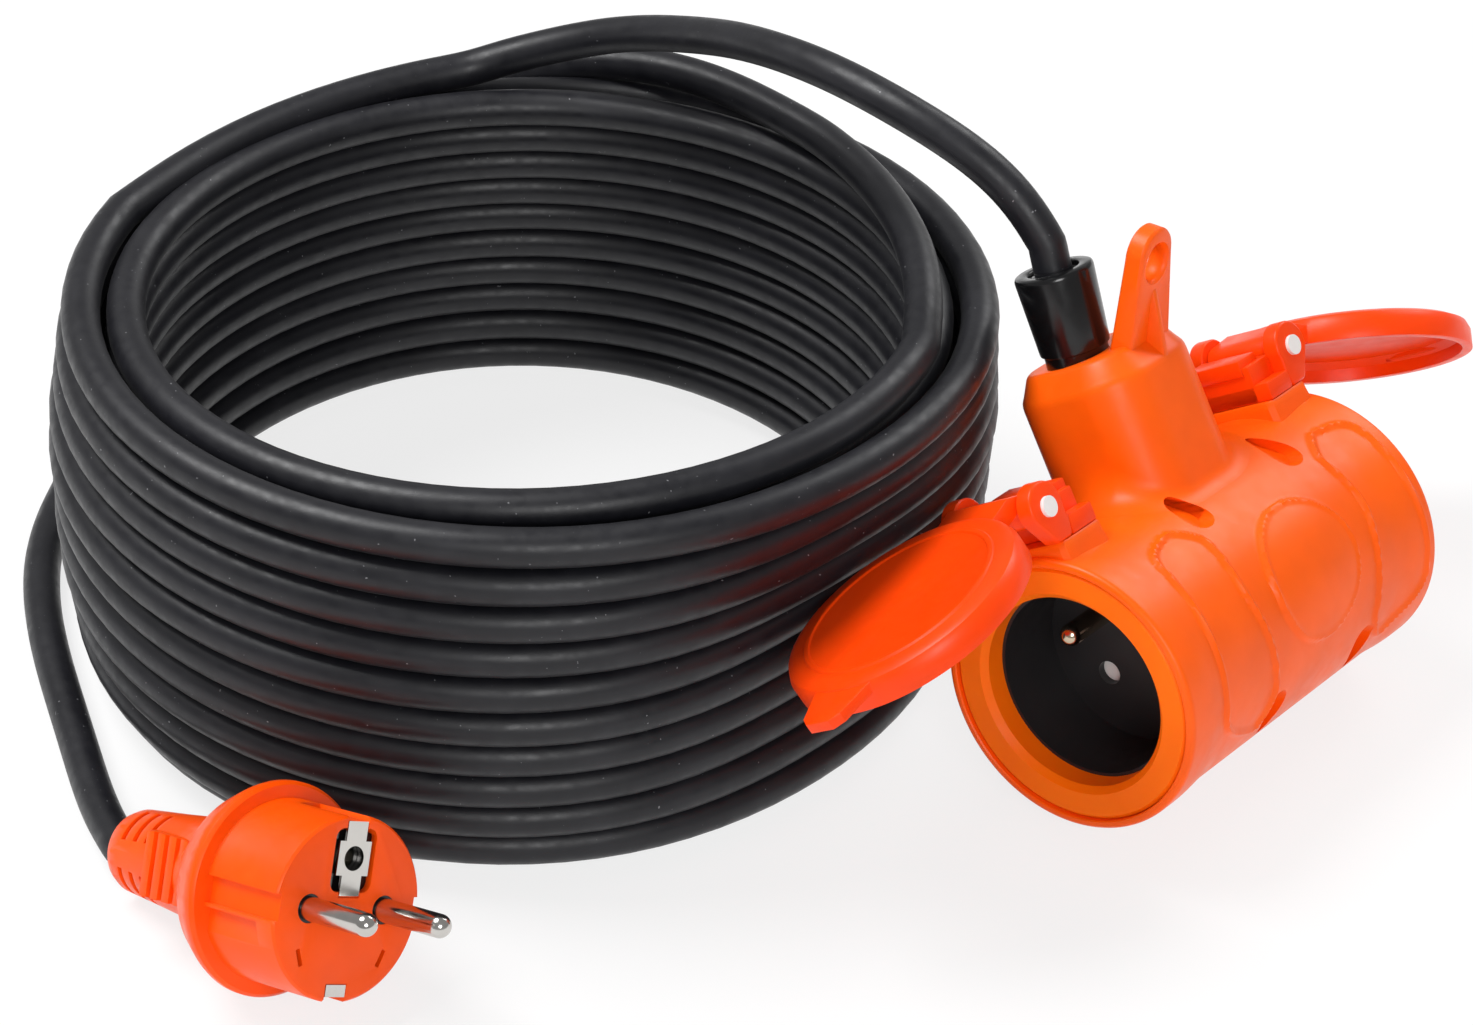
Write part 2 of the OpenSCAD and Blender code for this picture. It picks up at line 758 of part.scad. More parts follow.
// A shut lid, hanging from its hinge
module lid_shape() {
    inner_r = lid_r - lid_wall;
    cap = lid_back_y - 2.2;
    translate([0, 0, -lid_drop])
        turned_y([
            [inner_r, lid_rim_y], [lid_r, lid_rim_y], [lid_r, lid_back_y - lid_round],
            [lid_r - 0.8, lid_back_y - 0.8], [lid_r - lid_round, lid_back_y],
            [22.2, lid_back_y], [21.9, lid_back_y + 0.35], [20.9, lid_back_y + 0.35], [20.6, lid_back_y],
            [0, lid_back_y], [0, cap], [inner_r - 1.6, cap], [inner_r, cap - 1.6]
        ]);
    rotate([90, 0, 90]) translate([0, 0, -knuckle_w / 2])
        linear_extrude(knuckle_w)
            polygon([
                [lid_arm_y, -lid_drop + lid_r - 3], [lid_arm_y, -3.4], [0, -knuckle_r + 0.2], [0, knuckle_r - 0.2],
                [3.1, 1.8], [lid_arm_y + lid_arm_t, -4], [lid_arm_y + lid_arm_t, -lid_drop + lid_r - 3]
            ]);
    rod_x(knuckle_r, knuckle_w);
    translate([0, lid_back_y - 1, -lid_drop - lid_r + 4]) rotate([90, 0, 0])
        linear_extrude(2.2)
            polygon([[-8, 0], [8, 0], [5, -thumb_reach - 2], [3, -thumb_reach - 4], [-3, -thumb_reach - 4], [-5, -thumb_reach - 2]]);
}

module lid(end) {
    opened = end == "front" ? front_lid_open : rear_lid_open;
    color(signal_orange)
        in_block() at_end(end) at_hinge() rotate([opened, 0, 0])
            difference() {
                lid_shape();
                rod_x(hinge_pin_r + pin_gap, hinge_w + 2);
            }
}

// ---------- plug ----------

// Outer shape of the plug's round front, flange and cone
module plug_shape() {
    flange_t = 4.4;
    flange_end = plug_front + flange_t;
    turned_y([
        [0, 0], [plug_r - 0.5, 0], [plug_r, 0.5], [plug_r, plug_front],
        [plug_flange_r - 0.7, plug_front], [plug_flange_r, plug_front + 0.8], [plug_flange_r, plug_front + 2],
        [plug_flange_r - 0.5, plug_front + 3.4], [plug_flange_r - 1.5, flange_end + 1],
        [18.6, 29.5], [16.6, 32.2], [14.4, 34.6], [12.6, 37], [11.4, 40], [10.6, 44], [10.2, 48],
        [tail_r + 1.2, plug_length - 12], [tail_r + 0.3, plug_length - 2], [tail_r - 0.5, plug_length], [0, plug_length]
    ]);
}

// Ribbed grip on both sides of the plug
module grip_shape() {
    rib_pitch = 3.6;
    span([-grip_w / 2 + 1, grip_start, -grip_h / 2], [grip_w / 2 - 1, grip_end, grip_h / 2]);
    for (side = [-1, 1], i = [0:3])
        translate([side * (grip_w / 2 - 1), grip_start + 3.2 + i * rib_pitch, 0])
            span([-1, 0, -grip_h / 2], [1, 2.2, grip_h / 2]);
}

module plug_body() {
    slot_t = 1.5;
    guide_w = 5.4;
    color(signal_orange)
        in_plug()
            difference() {
                union() {
                    plug_shape();
                    grip_shape();
                }
                turned_y([
                    [0, plug_face_t], [plug_cavity_r, plug_face_t], [plug_cavity_r, plug_cavity_end],
                    [7.5, plug_core_end], [7.5, plug_core_end + 2], [0, plug_core_end + 2]
                ]);
                rod_y(cord_hole_r, plug_core_end, plug_length + 1);
                for (side = [-1, 1]) {
                    translate([side * contact_x, 0, 0]) rod_y(collar_r + pin_gap, -1, plug_face_t + 1);
                    mirror([side < 0 ? 1 : 0, 0, 0]) {
                        span([plug_r - 1.5, -1, -guide_w / 2], [plug_r + 2, plug_front, guide_w / 2]);
                        span([plug_r - 2, 5, -guide_w / 2 - 6.4], [plug_r + 2, plug_front, -guide_w / 2 - 0.8]);
                        translate([10.4, 0, -9.6]) rotate([0, 22, 0]) span([-0.5, -1, -1.8], [0.5, plug_face_t + 1, 1.8]);
                    }
                }
                translate([0, plug_face_t + 1, recess_mid])
                    rotate([90, 0, 0]) rounded_slab(recess_w, recess_h, plug_face_t + 2, 2);
                for (side = [-1, 1]) {
                    edge = side * (clip_top - clip_t);
                    span([-clip_w / 2 - 0.2, -1, min(edge, side * 30)], [clip_w / 2 + 0.2, clip_leg + clip_bar_t + 0.2, max(edge, side * 30)]);
                    span([-clip_w / 2 - 0.2, clip_leg - 0.2, min(0, side * clip_top)],
                         [clip_w / 2 + 0.2, clip_leg + clip_bar_t + 0.2, max(0, side * clip_top)]);
                }
                span([-clip_w / 2 - 0.2, -1, recess_mid], [clip_w / 2 + 0.2, clip_t + 0.1, plug_r + 1]);
                span([-clip_w / 2 - 0.2, -1, -plug_r - 1], [clip_w / 2 + 0.2, clip_t + 0.1, -clip_top + 2.6]);
                span([-clip_w / 2 - 0.2, -1, 2.2], [clip_w / 2 + 0.2, clip_t + 0.1, recess_mid]);
                for (row = [0:2], turn = [0:90:359])
                    rotate([0, turn + 45, 0])
                        span([-4, plug_length - 14 + row * 4, cord_r + 1.6], [4, plug_length - 14 + row * 4 + slot_t, 14]);
            }
}

module plug_carrier() {
    slot = clip_w / 2 + 0.3;
    color(moulded_black)
        in_plug()
            difference() {
                union() {
                    rod_y(plug_cavity_r - seat_gap, plug_face_t + seat_gap, carrier_end);
                    for (side = [-1, 1])
                        translate([side * contact_x, 0, 0]) rod_y(collar_r, 0.2, plug_face_t + 1);
                }
                for (side = [-1, 1])
                    translate([side * contact_x, 0, 0]) rod_y(pin_shank_r + pin_gap, -1, carrier_end + 1);
                translate([0, 0, earth_offset]) rod_y(earth_sleeve_r + fit_gap, 0, carrier_end + 1);
            }
}

// Pins on thinner shanks that go through the carrier
module plug_pins() {
    dome_y = pin_r - plug_pin_reach;
    color(nickel)
        in_plug()
            for (side = [-1, 1])
                translate([side * contact_x, 0, 0]) {
                    rod_y(pin_shank_r, -seat_gap - eps, carrier_end + 1);
                    rod_y(pin_r, dome_y, -seat_gap);
                    translate([0, dome_y, 0]) sphere(r = pin_r, $fn = 48);
                    rod_y(pin_r + 0.8, carrier_end + seat_gap, carrier_end + 1);
                }
}

// Earth strip: the face tab round the earth hole, both side legs, the bar behind and the sleeve
module plug_earth_clip() {
    tab_low = 2.6;
    color(nickel)
        in_plug()
            difference() {
                union() {
                    span([-clip_w / 2, 0, tab_low], [clip_w / 2, clip_t, clip_top]);
                    span([-4, 0, earth_offset - 3.4], [4, clip_t, earth_offset + 3.4]);
                    span([-clip_w / 2, 0, -clip_top], [clip_w / 2, clip_t, -clip_top + 2.4]);
                    for (side = [-1, 1])
                        mirror([0, 0, side < 0 ? 1 : 0])
                            span([-clip_w / 2, 0, clip_top - clip_t + 0.1], [clip_w / 2, clip_leg + clip_bar_t, clip_top]);
                    span([-clip_w / 2, clip_leg, -clip_top], [clip_w / 2, clip_leg + clip_bar_t, clip_top]);
                    translate([0, 0, earth_offset]) rod_y(earth_sleeve_r, earth_sleeve_start, clip_leg + eps);
                }
                translate([0, 0, earth_offset]) rod_y(contact_bore_r, -1, clip_leg);
            }
}

module plug_crimps() {
    color(brass_tone)
        in_plug() {
            for (side = [-1, 1])
                translate([side * contact_x, 0, 0]) rod_y(crimp_r, carrier_end + 1, carrier_end + 1 + crimp_length);
            translate([0, 0, earth_offset])
                rod_y(crimp_r, clip_leg + clip_bar_t, clip_leg + clip_bar_t + crimp_length - 1);
        }
}

module plug_cord_end() {
    color(rubber_black) in_plug() rod_y(cord_r, plug_core_end, plug_length);
}

module plug_core(tone, from, to) {
    straight = [0, 2, 0];
    color(tone) in_plug() tube([from, from + straight, to - straight, to], 8, core_r);
}

module plug_line_core() {
    start_y = carrier_end + 1 + crimp_length;
    plug_core(line_brown, [-contact_x, start_y, 0], [-2, plug_core_end - 0.3, -0.6]);
}

module plug_neutral_core() {
    start_y = carrier_end + 1 + crimp_length;
    plug_core(neutral_blue, [contact_x, start_y, 0], [2, plug_core_end - 0.3, -0.6]);
}

module plug_earth_core() {
    start_y = clip_leg + clip_bar_t + crimp_length - 1;
    plug_core(earth_green, [0, start_y, earth_offset], [0, plug_core_end - 0.3, 2.3]);
}

// ---------- cord ----------

function unit(v) = v / norm(v);
function turned(p) = [
    p[0] * cos(coil_heading) - p[1] * sin(coil_heading),
    p[0] * sin(coil_heading) + p[1] * cos(coil_heading),
    p[2]
];
function smooth(t) = let (c = min(1, max(0, t))) c * c * (3 - 2 * c);
function wrap180(a) = a - 360 * floor((a + 180) / 360);

// Centre line of the coil after a number of turns, from the block's end of the cord
function coil_point(turns) =
    let (
        z = cord_r + coil_pitch * abs(outer_turns - turns),
        sag = min(1, max(0, (coil_top - z) / (coil_top - cord_r))),
        heading = outer_start + 360 * turns,
        inward = layer_step * smooth((turns - outer_turns - step_start) / step_length),
        off = (wrap180(heading) - dent_heading) / dent_width,
        dent = dent_depth * exp(-off * off) * sin(180 * sag),
        reach = coil_r + coil_belly * sin(180 * sag) - inward - dent
    )
    turned([
        coil_shift[0] * sag + (reach + coil_spread[0] * sag) * cos(heading),
        coil_shift[1] * sag + (reach + coil_spread[1] * sag) * sin(heading),
        z
    ]);

coil_centres = [for (i = [0:coil_rings]) coil_point(i / rings_per_turn)];
coil_in = unit(coil_centres[0] - coil_point(0.01));
coil_out = unit(coil_centres[coil_rings] - coil_point(coil_rings / rings_per_turn - 0.01));
coil_first = coil_centres[0] + cord_straight * coil_in;
coil_last = coil_centres[coil_rings] + cord_straight * coil_out;
coil_line = concat([coil_first], coil_centres, [coil_last]);

// Ring of points round p, square to direction d, with one corner pointing down
function ring(p, d, sides, r) =
    let (u = unit(cross(d, [0, 0.0001, 1])), v = cross(u, d))
    [for (k = [0:sides - 1]) p + r * (u * sin(360 * k / sides) - v * cos(360 * k / sides))];

function direction(line, i) =
    let (last = len(line) - 1)
    i == 0 ? unit(line[1] - line[0]) :
    i == last ? unit(line[last] - line[last - 1]) :
    unit(unit(line[i + 1] - line[i]) + unit(line[i] - line[i - 1]));

// Closed tube along a line, one ring at each of its points
module tube(line, sides, r = cord_r) {
    last = len(line) - 1;
    points = [for (i = [0:last]) each ring(line[i], direction(line, i), sides, r)];
    walls = [
        for (i = [0:last - 1], k = [0:sides - 1])
            let (a = i * sides + k, b = i * sides + (k + 1) % sides, c = b + sides, e = a + sides)
            each [[a, b, c], [a, c, e]]
    ];
    caps = [
        for (k = [1:sides - 2]) [0, k + 1, k],
        for (k = [1:sides - 2]) [last * sides, last * sides + k, last * sides + k + 1]
    ];
    polyhedron(points = points, faces = concat(walls, caps));
}

// Least distance between turns, measured ring centre to ring centre on neighbouring turns
function coil_gap() = min([
    for (i = [0:coil_rings], k = [1:2 * ceil(outer_turns) + 1], m = [-1:1])
        let (j = i + k * rings_per_turn + m)
        if (j <= coil_rings) norm(coil_centres[i] - coil_centres[j])
]) - 2 * cord_r;

module cord_coil() {
    echo(least_gap_of_the_coil_to_itself_mm = coil_gap());
    color(rubber_black) translate(coil_place) tube(coil_line, coil_sides);
}

// Ends of the free stretches, from the coil's centre on the floor
function tipped(p, a) = [p[0], p[1] * cos(a) + p[2] * sin(a), p[2] * cos(a) - p[1] * sin(a)];
function rolled(p, a) = [p[0] * cos(a) - p[2] * sin(a), p[1], p[0] * sin(a) + p[2] * cos(a)];
function block_vector(p) = tipped(rolled(p, block_roll), block_pitch);
gland_axis = block_vector([sin(gland_tilt), 0, cos(gland_tilt)]);
gland_mouth = block_vector([gland_x, gland_y, neck_top]) + gland_length * gland_axis
    + [-coil_from_block[0], -coil_from_block[1], block_z];
plug_axis = [
    -sin(plug_turn[2]) * cos(plug_lean[0]),
    cos(plug_turn[2]) * cos(plug_lean[0]),
    sin(plug_lean[0])
];
plug_mouth = [plug_x, plug_y, plug_z] + plug_length * plug_axis;

module cord_socket_lead() {
    line = concat(
        [coil_first, coil_first + cord_straight * coil_in],
        socket_lead_points,
        [gland_mouth + cord_straight * gland_axis, gland_mouth]
    );
    color(rubber_black) translate(coil_place) tube(line, lead_sides);
}

module cord_plug_lead() {
    line = concat(
        [coil_last, coil_last + cord_straight * coil_out],
        plug_lead_points,
        [plug_mouth + cord_straight * plug_axis, plug_mouth]
    );
    color(rubber_black) translate(coil_place) tube(line, lead_sides);
}

socket_housing();
cable_gland();
bezel("front");  // front_bezel
bezel("rear");  // rear_bezel
insert("front");  // front_insert
insert("rear");  // rear_insert
face_plate("front");  // front_face_plate
face_plate("rear");  // rear_face_plate
earth_pin("front");  // front_earth_pin
earth_pin("rear");  // rear_earth_pin
shutter("front");  // front_shutter
shutter("rear");  // rear_shutter
contact_block("front");  // front_contact_block
contact_block("rear");  // rear_contact_block
contact("front", -1);  // front_line_contact
contact("front", 1);  // front_neutral_contact
contact("rear", -1);  // rear_line_contact
contact("rear", 1);  // rear_neutral_contact
bus_bar(-1);  // line_bus_bar
bus_bar(1);  // neutral_bus_bar
earth_bus_bar();
terminal_screws();
hinge_bracket("front");  // front_hinge_bracket
hinge_bracket("rear");  // rear_hinge_bracket
hinge_pin("front");  // front_hinge_pin
hinge_pin("rear");  // rear_hinge_pin
lid("front");  // front_lid
lid("rear");  // rear_lid
cord_clamp();
cord_clamp_screws();
socket_cord_end();
line_core();
neutral_core();
earth_core();
plug_body();
plug_carrier();
plug_pins();
plug_earth_clip();
plug_crimps();
plug_cord_end();
plug_line_core();
plug_neutral_core();
plug_earth_core();
cord_coil();
cord_socket_lead();
cord_plug_lead();
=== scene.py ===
"""Looks of an outdoor extension cord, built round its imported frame.

The frame holds every piece at its real size and place. This script gives each one its
finish, lays the cord along its real route and models the mouldings that need softer
shapes than their frame solids have. Lengths are in metres, except in the classes that
say millimetres, and angles are in degrees.
"""

import logging
import math
from dataclasses import dataclass
from enum import Enum

import bpy
from mathutils import Matrix, Vector
from mathutils.kdtree import KDTree

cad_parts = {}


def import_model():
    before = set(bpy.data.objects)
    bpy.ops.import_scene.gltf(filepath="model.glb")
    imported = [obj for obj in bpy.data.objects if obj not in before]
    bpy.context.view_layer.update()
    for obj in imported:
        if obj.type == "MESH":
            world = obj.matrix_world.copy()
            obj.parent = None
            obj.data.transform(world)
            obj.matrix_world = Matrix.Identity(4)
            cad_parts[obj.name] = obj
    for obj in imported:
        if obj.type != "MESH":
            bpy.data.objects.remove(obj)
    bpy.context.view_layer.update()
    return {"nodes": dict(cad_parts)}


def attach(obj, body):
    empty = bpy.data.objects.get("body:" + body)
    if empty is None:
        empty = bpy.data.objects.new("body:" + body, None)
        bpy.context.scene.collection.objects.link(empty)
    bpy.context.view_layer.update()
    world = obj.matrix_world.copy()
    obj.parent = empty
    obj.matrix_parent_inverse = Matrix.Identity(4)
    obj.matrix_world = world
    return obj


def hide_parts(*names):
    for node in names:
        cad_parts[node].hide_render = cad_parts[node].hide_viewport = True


LOG = logging.getLogger("extension_cord")

Piece = bpy.types.Object
Tree = bpy.types.NodeTree
Socket = bpy.types.NodeSocket
Colour = tuple[float, float, float]
Point2 = tuple[float, float]
Point3 = tuple[float, float, float]

MM = 0.001
MAIN_BODY = "socket_and_cord"
COIL_CENTRE_MM = (-121.0, -62.3, 0.0)
# The coil is drawn as the camera sees it, so both are turned by this much about Z.
VIEW_HEADING = 37.28
BLACK = (0.0, 0.0, 0.0)
WHITE = (1.0, 1.0, 1.0)
# Nearly all of a noise's values lie between these two.
NOISE_MIDDLE = (0.3, 0.7)


# ---------------------------------------------------------------- helpers


def deselect_all() -> None:
    """Leave object mode with nothing selected."""
    if bpy.context.mode != "OBJECT":
        bpy.ops.object.mode_set(mode="OBJECT")
    bpy.ops.object.select_all(action="DESELECT")


def make_active(piece: Piece) -> None:
    """Select one piece alone and make it active.

    Args:
        piece: The object to work on.
    """
    deselect_all()
    piece.hide_set(False)
    piece.select_set(True)
    bpy.context.view_layer.objects.active = piece


def turn_about(axis: str, angle: float) -> Matrix:
    """Return a 4x4 turn about an axis.

    Args:
        axis: X, Y or Z.
        angle: The turn in degrees.

    Returns:
        The matrix.
    """
    return Matrix.Rotation(math.radians(angle), 4, axis)


def smooth(value: float) -> float:
    """Ease from 0 to 1.

    Args:
        value: Any number.

    Returns:
        0 below 0, 1 above 1, and a smooth step between.
    """
    clipped = min(1.0, max(0.0, value))
    return clipped * clipped * (3.0 - 2.0 * clipped)


# ---------------------------------------------------------------- finishes


class Grain(Enum):
    """Strength of the fine texture on a moulded face."""

    POLISHED = 0.0
    SATIN = 0.35
    SPARK = 1.0


@dataclass(frozen=True)
class Moulded:
    """A moulded plastic with fine grain, faint cloudiness and soft gloss."""

    name: str
    colour: Colour
    roughness: float
    grain: Grain = Grain.SATIN
    subsurface: float = 0.0
    cloud: float = 0.06
    shine: float = 0.3
    refraction: float = 1.48
    glow_radius: Point3 = (1.0, 0.25, 0.08)
    glow_depth: float = 0.0015
    cloud_scale: float = 55.0
    cloud_band: Point2 = (0.35, 0.65)
    rub_scale: float = 260.0
    rub_swing: Point2 = (-0.05, 0.06)
    grain_scale: float = 2600.0
    grain_strength: float = 0.10
    grain_depth: float = 0.0002

    def build(self) -> bpy.types.Material:
        """Make the material.

        Returns:
            The node material, reading Object coordinates.
        """
        material, tree, shader = new_material(self.name)
        shader.inputs["IOR"].default_value = self.refraction
        shader.inputs["Specular IOR Level"].default_value = self.shine
        if self.subsurface:
            shader.inputs["Subsurface Weight"].default_value = self.subsurface
            shader.inputs["Subsurface Radius"].default_value = self.glow_radius
            shader.inputs["Subsurface Scale"].default_value = self.glow_depth
        coords = tree.nodes.new("ShaderNodeTexCoord")
        cloud = noise(tree, coords, scale=self.cloud_scale, detail=3.0)
        dark = tuple(c * (1.0 - self.cloud) for c in self.colour)
        light = tuple(min(1.0, c * (1.0 + self.cloud)) for c in self.colour)
        tint = colour_ramp(tree, cloud, (dark, light), self.cloud_band)
        tree.links.new(tint, shader.inputs["Base Color"])
        rub = noise(tree, coords, scale=self.rub_scale, detail=4.0)
        gloss = spread(tree, rub, self.roughness, self.rub_swing)
        tree.links.new(gloss, shader.inputs["Roughness"])
        if self.grain is not Grain.POLISHED:
            fine = noise(tree, coords, scale=self.grain_scale, detail=2.0)
            strength = self.grain_strength * self.grain.value
            add_bump(tree, shader, fine, strength, self.grain_depth)
        return material


@dataclass(frozen=True)
class Plated:
    """A plated or bare metal with faint brushing and handling marks."""

    name: str
    colour: Colour
    roughness: float
    mark_scale: float = 240.0
    mark_shade: float = 0.93
    mark_band: Point2 = (0.3, 0.6)
    mark_swing: Point2 = (-0.03, 0.04)
    mark_strength: float = 0.03
    mark_depth: float = 0.0001

    def build(self) -> bpy.types.Material:
        """Make the material.

        Returns:
            The node material, reading Object coordinates.
        """
        material, tree, shader = new_material(self.name)
        shader.inputs["Metallic"].default_value = 1.0
        coords = tree.nodes.new("ShaderNodeTexCoord")
        marks = noise(tree, coords, scale=self.mark_scale, detail=3.0)
        dull = tuple(c * self.mark_shade for c in self.colour)
        tint = colour_ramp(tree, marks, (dull, self.colour), self.mark_band)
        tree.links.new(tint, shader.inputs["Base Color"])
        gloss = spread(tree, marks, self.roughness, self.mark_swing)
        tree.links.new(gloss, shader.inputs["Roughness"])
        add_bump(tree, shader, marks, self.mark_strength, self.mark_depth)
        return material


@dataclass(frozen=True)
class RubberSheath:
    """The cord's matt rubber, clouded with dust and flecked with pale grit."""

    name: str
    colour: Colour
    roughness: float
    refraction: float = 1.5
    shine: float = 0.42
    sheen: float = 0.02
    sheen_roughness: float = 0.4
    dust_scale: float = 70.0
    dust_gain: float = 1.35
    dust_lift: float = 0.004
    dust_band: Point2 = (0.45, 0.8)
    grit_scale: float = 1100.0
    grit_band: Point2 = (0.775, 0.80)
    grit_colour: Colour = (0.16, 0.16, 0.17)
    rub_scale: float = 340.0
    rub_swing: Point2 = (-0.07, 0.09)
    skin_scale: float = 1500.0
    skin_strength: float = 0.09
    skin_depth: float = 0.0002

    def build(self) -> bpy.types.Material:
        """Make the material.

        Returns:
            The node material, reading Object coordinates.
        """
        material, tree, shader = new_material(self.name)
        shader.inputs["IOR"].default_value = self.refraction
        shader.inputs["Specular IOR Level"].default_value = self.shine
        shader.inputs["Sheen Weight"].default_value = self.sheen
        shader.inputs["Sheen Roughness"].default_value = self.sheen_roughness
        coords = tree.nodes.new("ShaderNodeTexCoord")
        dust = noise(tree, coords, scale=self.dust_scale, detail=6.0)
        grey = tuple(c * self.dust_gain + self.dust_lift for c in self.colour)
        tint = colour_ramp(tree, dust, (self.colour, grey), self.dust_band)
        grit = noise(tree, coords, scale=self.grit_scale, detail=1.0)
        specks = colour_ramp(tree, grit, (BLACK, WHITE), self.grit_band)
        dusted = tree.nodes.new("ShaderNodeMix")
        dusted.data_type = "RGBA"
        dusted.inputs["B"].default_value = (*self.grit_colour, 1.0)
        tree.links.new(specks, dusted.inputs["Factor"])
        tree.links.new(tint, dusted.inputs["A"])
        tree.links.new(dusted.outputs["Result"], shader.inputs["Base Color"])
        rub = noise(tree, coords, scale=self.rub_scale, detail=5.0)
        gloss = spread(tree, rub, self.roughness, self.rub_swing)
        tree.links.new(gloss, shader.inputs["Roughness"])
        skin = noise(tree, coords, scale=self.skin_scale, detail=3.0)
        add_bump(tree, shader, skin, self.skin_strength, self.skin_depth)
        return material


def new_material(name: str) -> tuple[bpy.types.Material, Tree, bpy.types.Node]:
    """Make an empty node material.

    Args:
        name: The material's name.

    Returns:
        The material, its node tree and its shader.
    """
    material = bpy.data.materials.new(name)
    material.use_nodes = True
    tree = material.node_tree
    return material, tree, tree.nodes["Principled BSDF"]


def noise(tree: Tree, coords: bpy.types.Node, scale: float, detail: float) -> Socket:
    """Add a noise pattern in Object coordinates.

    Args:
        tree: The node tree.
        coords: Its Texture Coordinate node.
        scale: Cycles per metre.
        detail: Octaves of finer noise.

    Returns:
        The noise value's socket.
    """
    node = tree.nodes.new("ShaderNodeTexNoise")
    node.inputs["Scale"].default_value = scale
    node.inputs["Detail"].default_value = detail
    tree.links.new(coords.outputs["Object"], node.inputs["Vector"])
    return node.outputs["Fac"]


def colour_ramp(
    tree: Tree, value: Socket, colours: tuple[Colour, Colour], band: Point2
) -> Socket:
    """Map a value to a colour between two.

    Args:
        tree: The node tree.
        value: The driving socket.
        colours: The colours at the ramp's start and end.
        band: The values where the ramp starts and ends.

    Returns:
        The colour socket.
    """
    ramp = tree.nodes.new("ShaderNodeValToRGB")
    for element, position, colour in zip(ramp.color_ramp.elements, band, colours):
        element.position = position
        element.color = (*colour, 1.0)
    tree.links.new(value, ramp.inputs["Fac"])
    return ramp.outputs["Color"]


def spread(tree: Tree, value: Socket, middle: float, swing: Point2) -> Socket:
    """Map the middle of a noise to numbers round one.

    Args:
        tree: The node tree.
        value: The driving socket.
        middle: The number.
        swing: What is added to it at the low and at the high end of the noise.

    Returns:
        The number's socket.
    """
    node = tree.nodes.new("ShaderNodeMapRange")
    for end, source, added in zip(("Min", "Max"), NOISE_MIDDLE, swing):
        node.inputs["From " + end].default_value = source
        node.inputs["To " + end].default_value = middle + added
    tree.links.new(value, node.inputs["Value"])
    return node.outputs["Result"]


def add_bump(
    tree: Tree, shader: bpy.types.Node, height: Socket, strength: float, depth: float
) -> None:
    """Give a shader a fine relief.

    Args:
        tree: The node tree.
        shader: The shader whose normal is moved.
        height: The relief's socket.
        strength: Share of the relief that shows.
        depth: Height of the relief, in metres.
    """
    bump = tree.nodes.new("ShaderNodeBump")
    bump.inputs["Strength"].default_value = strength
    bump.inputs["Distance"].default_value = depth
    tree.links.new(height, bump.inputs["Height"])
    tree.links.new(bump.outputs["Normal"], shader.inputs["Normal"])


Finish = Moulded | Plated | RubberSheath

HOUSING_ORANGE = Moulded(
    "housing_orange", (0.95, 0.110, 0.002), 0.37, subsurface=0.10, shine=0.24
)
SIGNAL_ORANGE = Moulded(
    "signal_orange", (0.93, 0.056, 0.001), 0.34, subsurface=0.10, shine=0.24
)
PLUG_ORANGE = Moulded("plug_orange", (0.95, 0.084, 0.001), 0.34, subsurface=0.10, shine=0.26)
BEZEL_ORANGE = Moulded("bezel_orange", (1.0, 0.158, 0.001), 0.46, subsurface=0.2, shine=0.16)
GLOSS_BLACK = Moulded(
    "gloss_black", (0.004, 0.004, 0.0045), 0.20, Grain.POLISHED, shine=0.5
)
INSERT_BLACK = Moulded("insert_black", (0.016, 0.015, 0.016), 0.40, Grain.SPARK, shine=0.4)
PLAIN_WHITE = Moulded("plain_white", (0.80, 0.79, 0.77), 0.38, cloud=0.03)
NICKEL = Plated("nickel_plate", (0.62, 0.60, 0.57), 0.17)
BRASS = Plated("bare_brass", (0.72, 0.50, 0.22), 0.24)
EARTH_PIN = Plated("earth_pin", (0.62, 0.50, 0.36), 0.16)
SHEATH = RubberSheath("rubber_sheath", (0.0060, 0.0060, 0.0086), 0.43)
CORE_BROWN = Moulded("core_brown", (0.11, 0.035, 0.012), 0.45)
CORE_BLUE = Moulded("core_blue", (0.015, 0.09, 0.45), 0.45)
CORE_GREEN = Moulded("core_green", (0.10, 0.38, 0.03), 0.45)

# The frame's pieces that show as they are. The others are modelled anew further down.
FRAME_FINISHES: dict[Finish, tuple[str, ...]] = {
    BEZEL_ORANGE: ("front_bezel", "rear_bezel"),
    GLOSS_BLACK: ("cord_clamp", "plug_carrier"),
    INSERT_BLACK: (
        "front_insert", "rear_insert", "front_face_plate", "rear_face_plate",
        "front_contact_block", "rear_contact_block",
    ),
    PLAIN_WHITE: ("front_shutter", "rear_shutter", "front_hinge_pin", "rear_hinge_pin"),
    NICKEL: ("terminal_screws", "cord_clamp_screws", "plug_pins", "plug_earth_clip"),
    EARTH_PIN: ("front_earth_pin", "rear_earth_pin"),
    BRASS: (
        "front_line_contact", "front_neutral_contact", "rear_line_contact",
        "rear_neutral_contact", "line_bus_bar", "neutral_bus_bar", "earth_bus_bar",
        "plug_crimps",
    ),
    SHEATH: ("socket_cord_end", "plug_cord_end"),
    CORE_BROWN: ("line_core", "plug_line_core"),
    CORE_BLUE: ("neutral_core", "plug_neutral_core"),
    CORE_GREEN: ("earth_core", "plug_earth_core"),
}


class Paintbox:
    """Makes each finish's material once and puts it on pieces."""

    def __init__(self) -> None:
        """Start with no materials made."""
        self._made: dict[str, bpy.types.Material] = {}

    def material(self, finish: Finish) -> bpy.types.Material:
        """Return a finish's material, made on first use.

        Args:
            finish: The finish.

        Returns:
            Its material.
        """
        if finish.name not in self._made:
            self._made[finish.name] = finish.build()
        return self._made[finish.name]

    def dress(self, piece: Piece, finish: Finish) -> None:
        """Give a piece one finish all over.

        Args:
            piece: The object to dress.
            finish: The finish.
        """
        material = self.material(finish)
        if not piece.material_slots:
            piece.data.materials.append(material)
        for slot in piece.material_slots:
            slot.material = material


# ---------------------------------------------------------------- scene


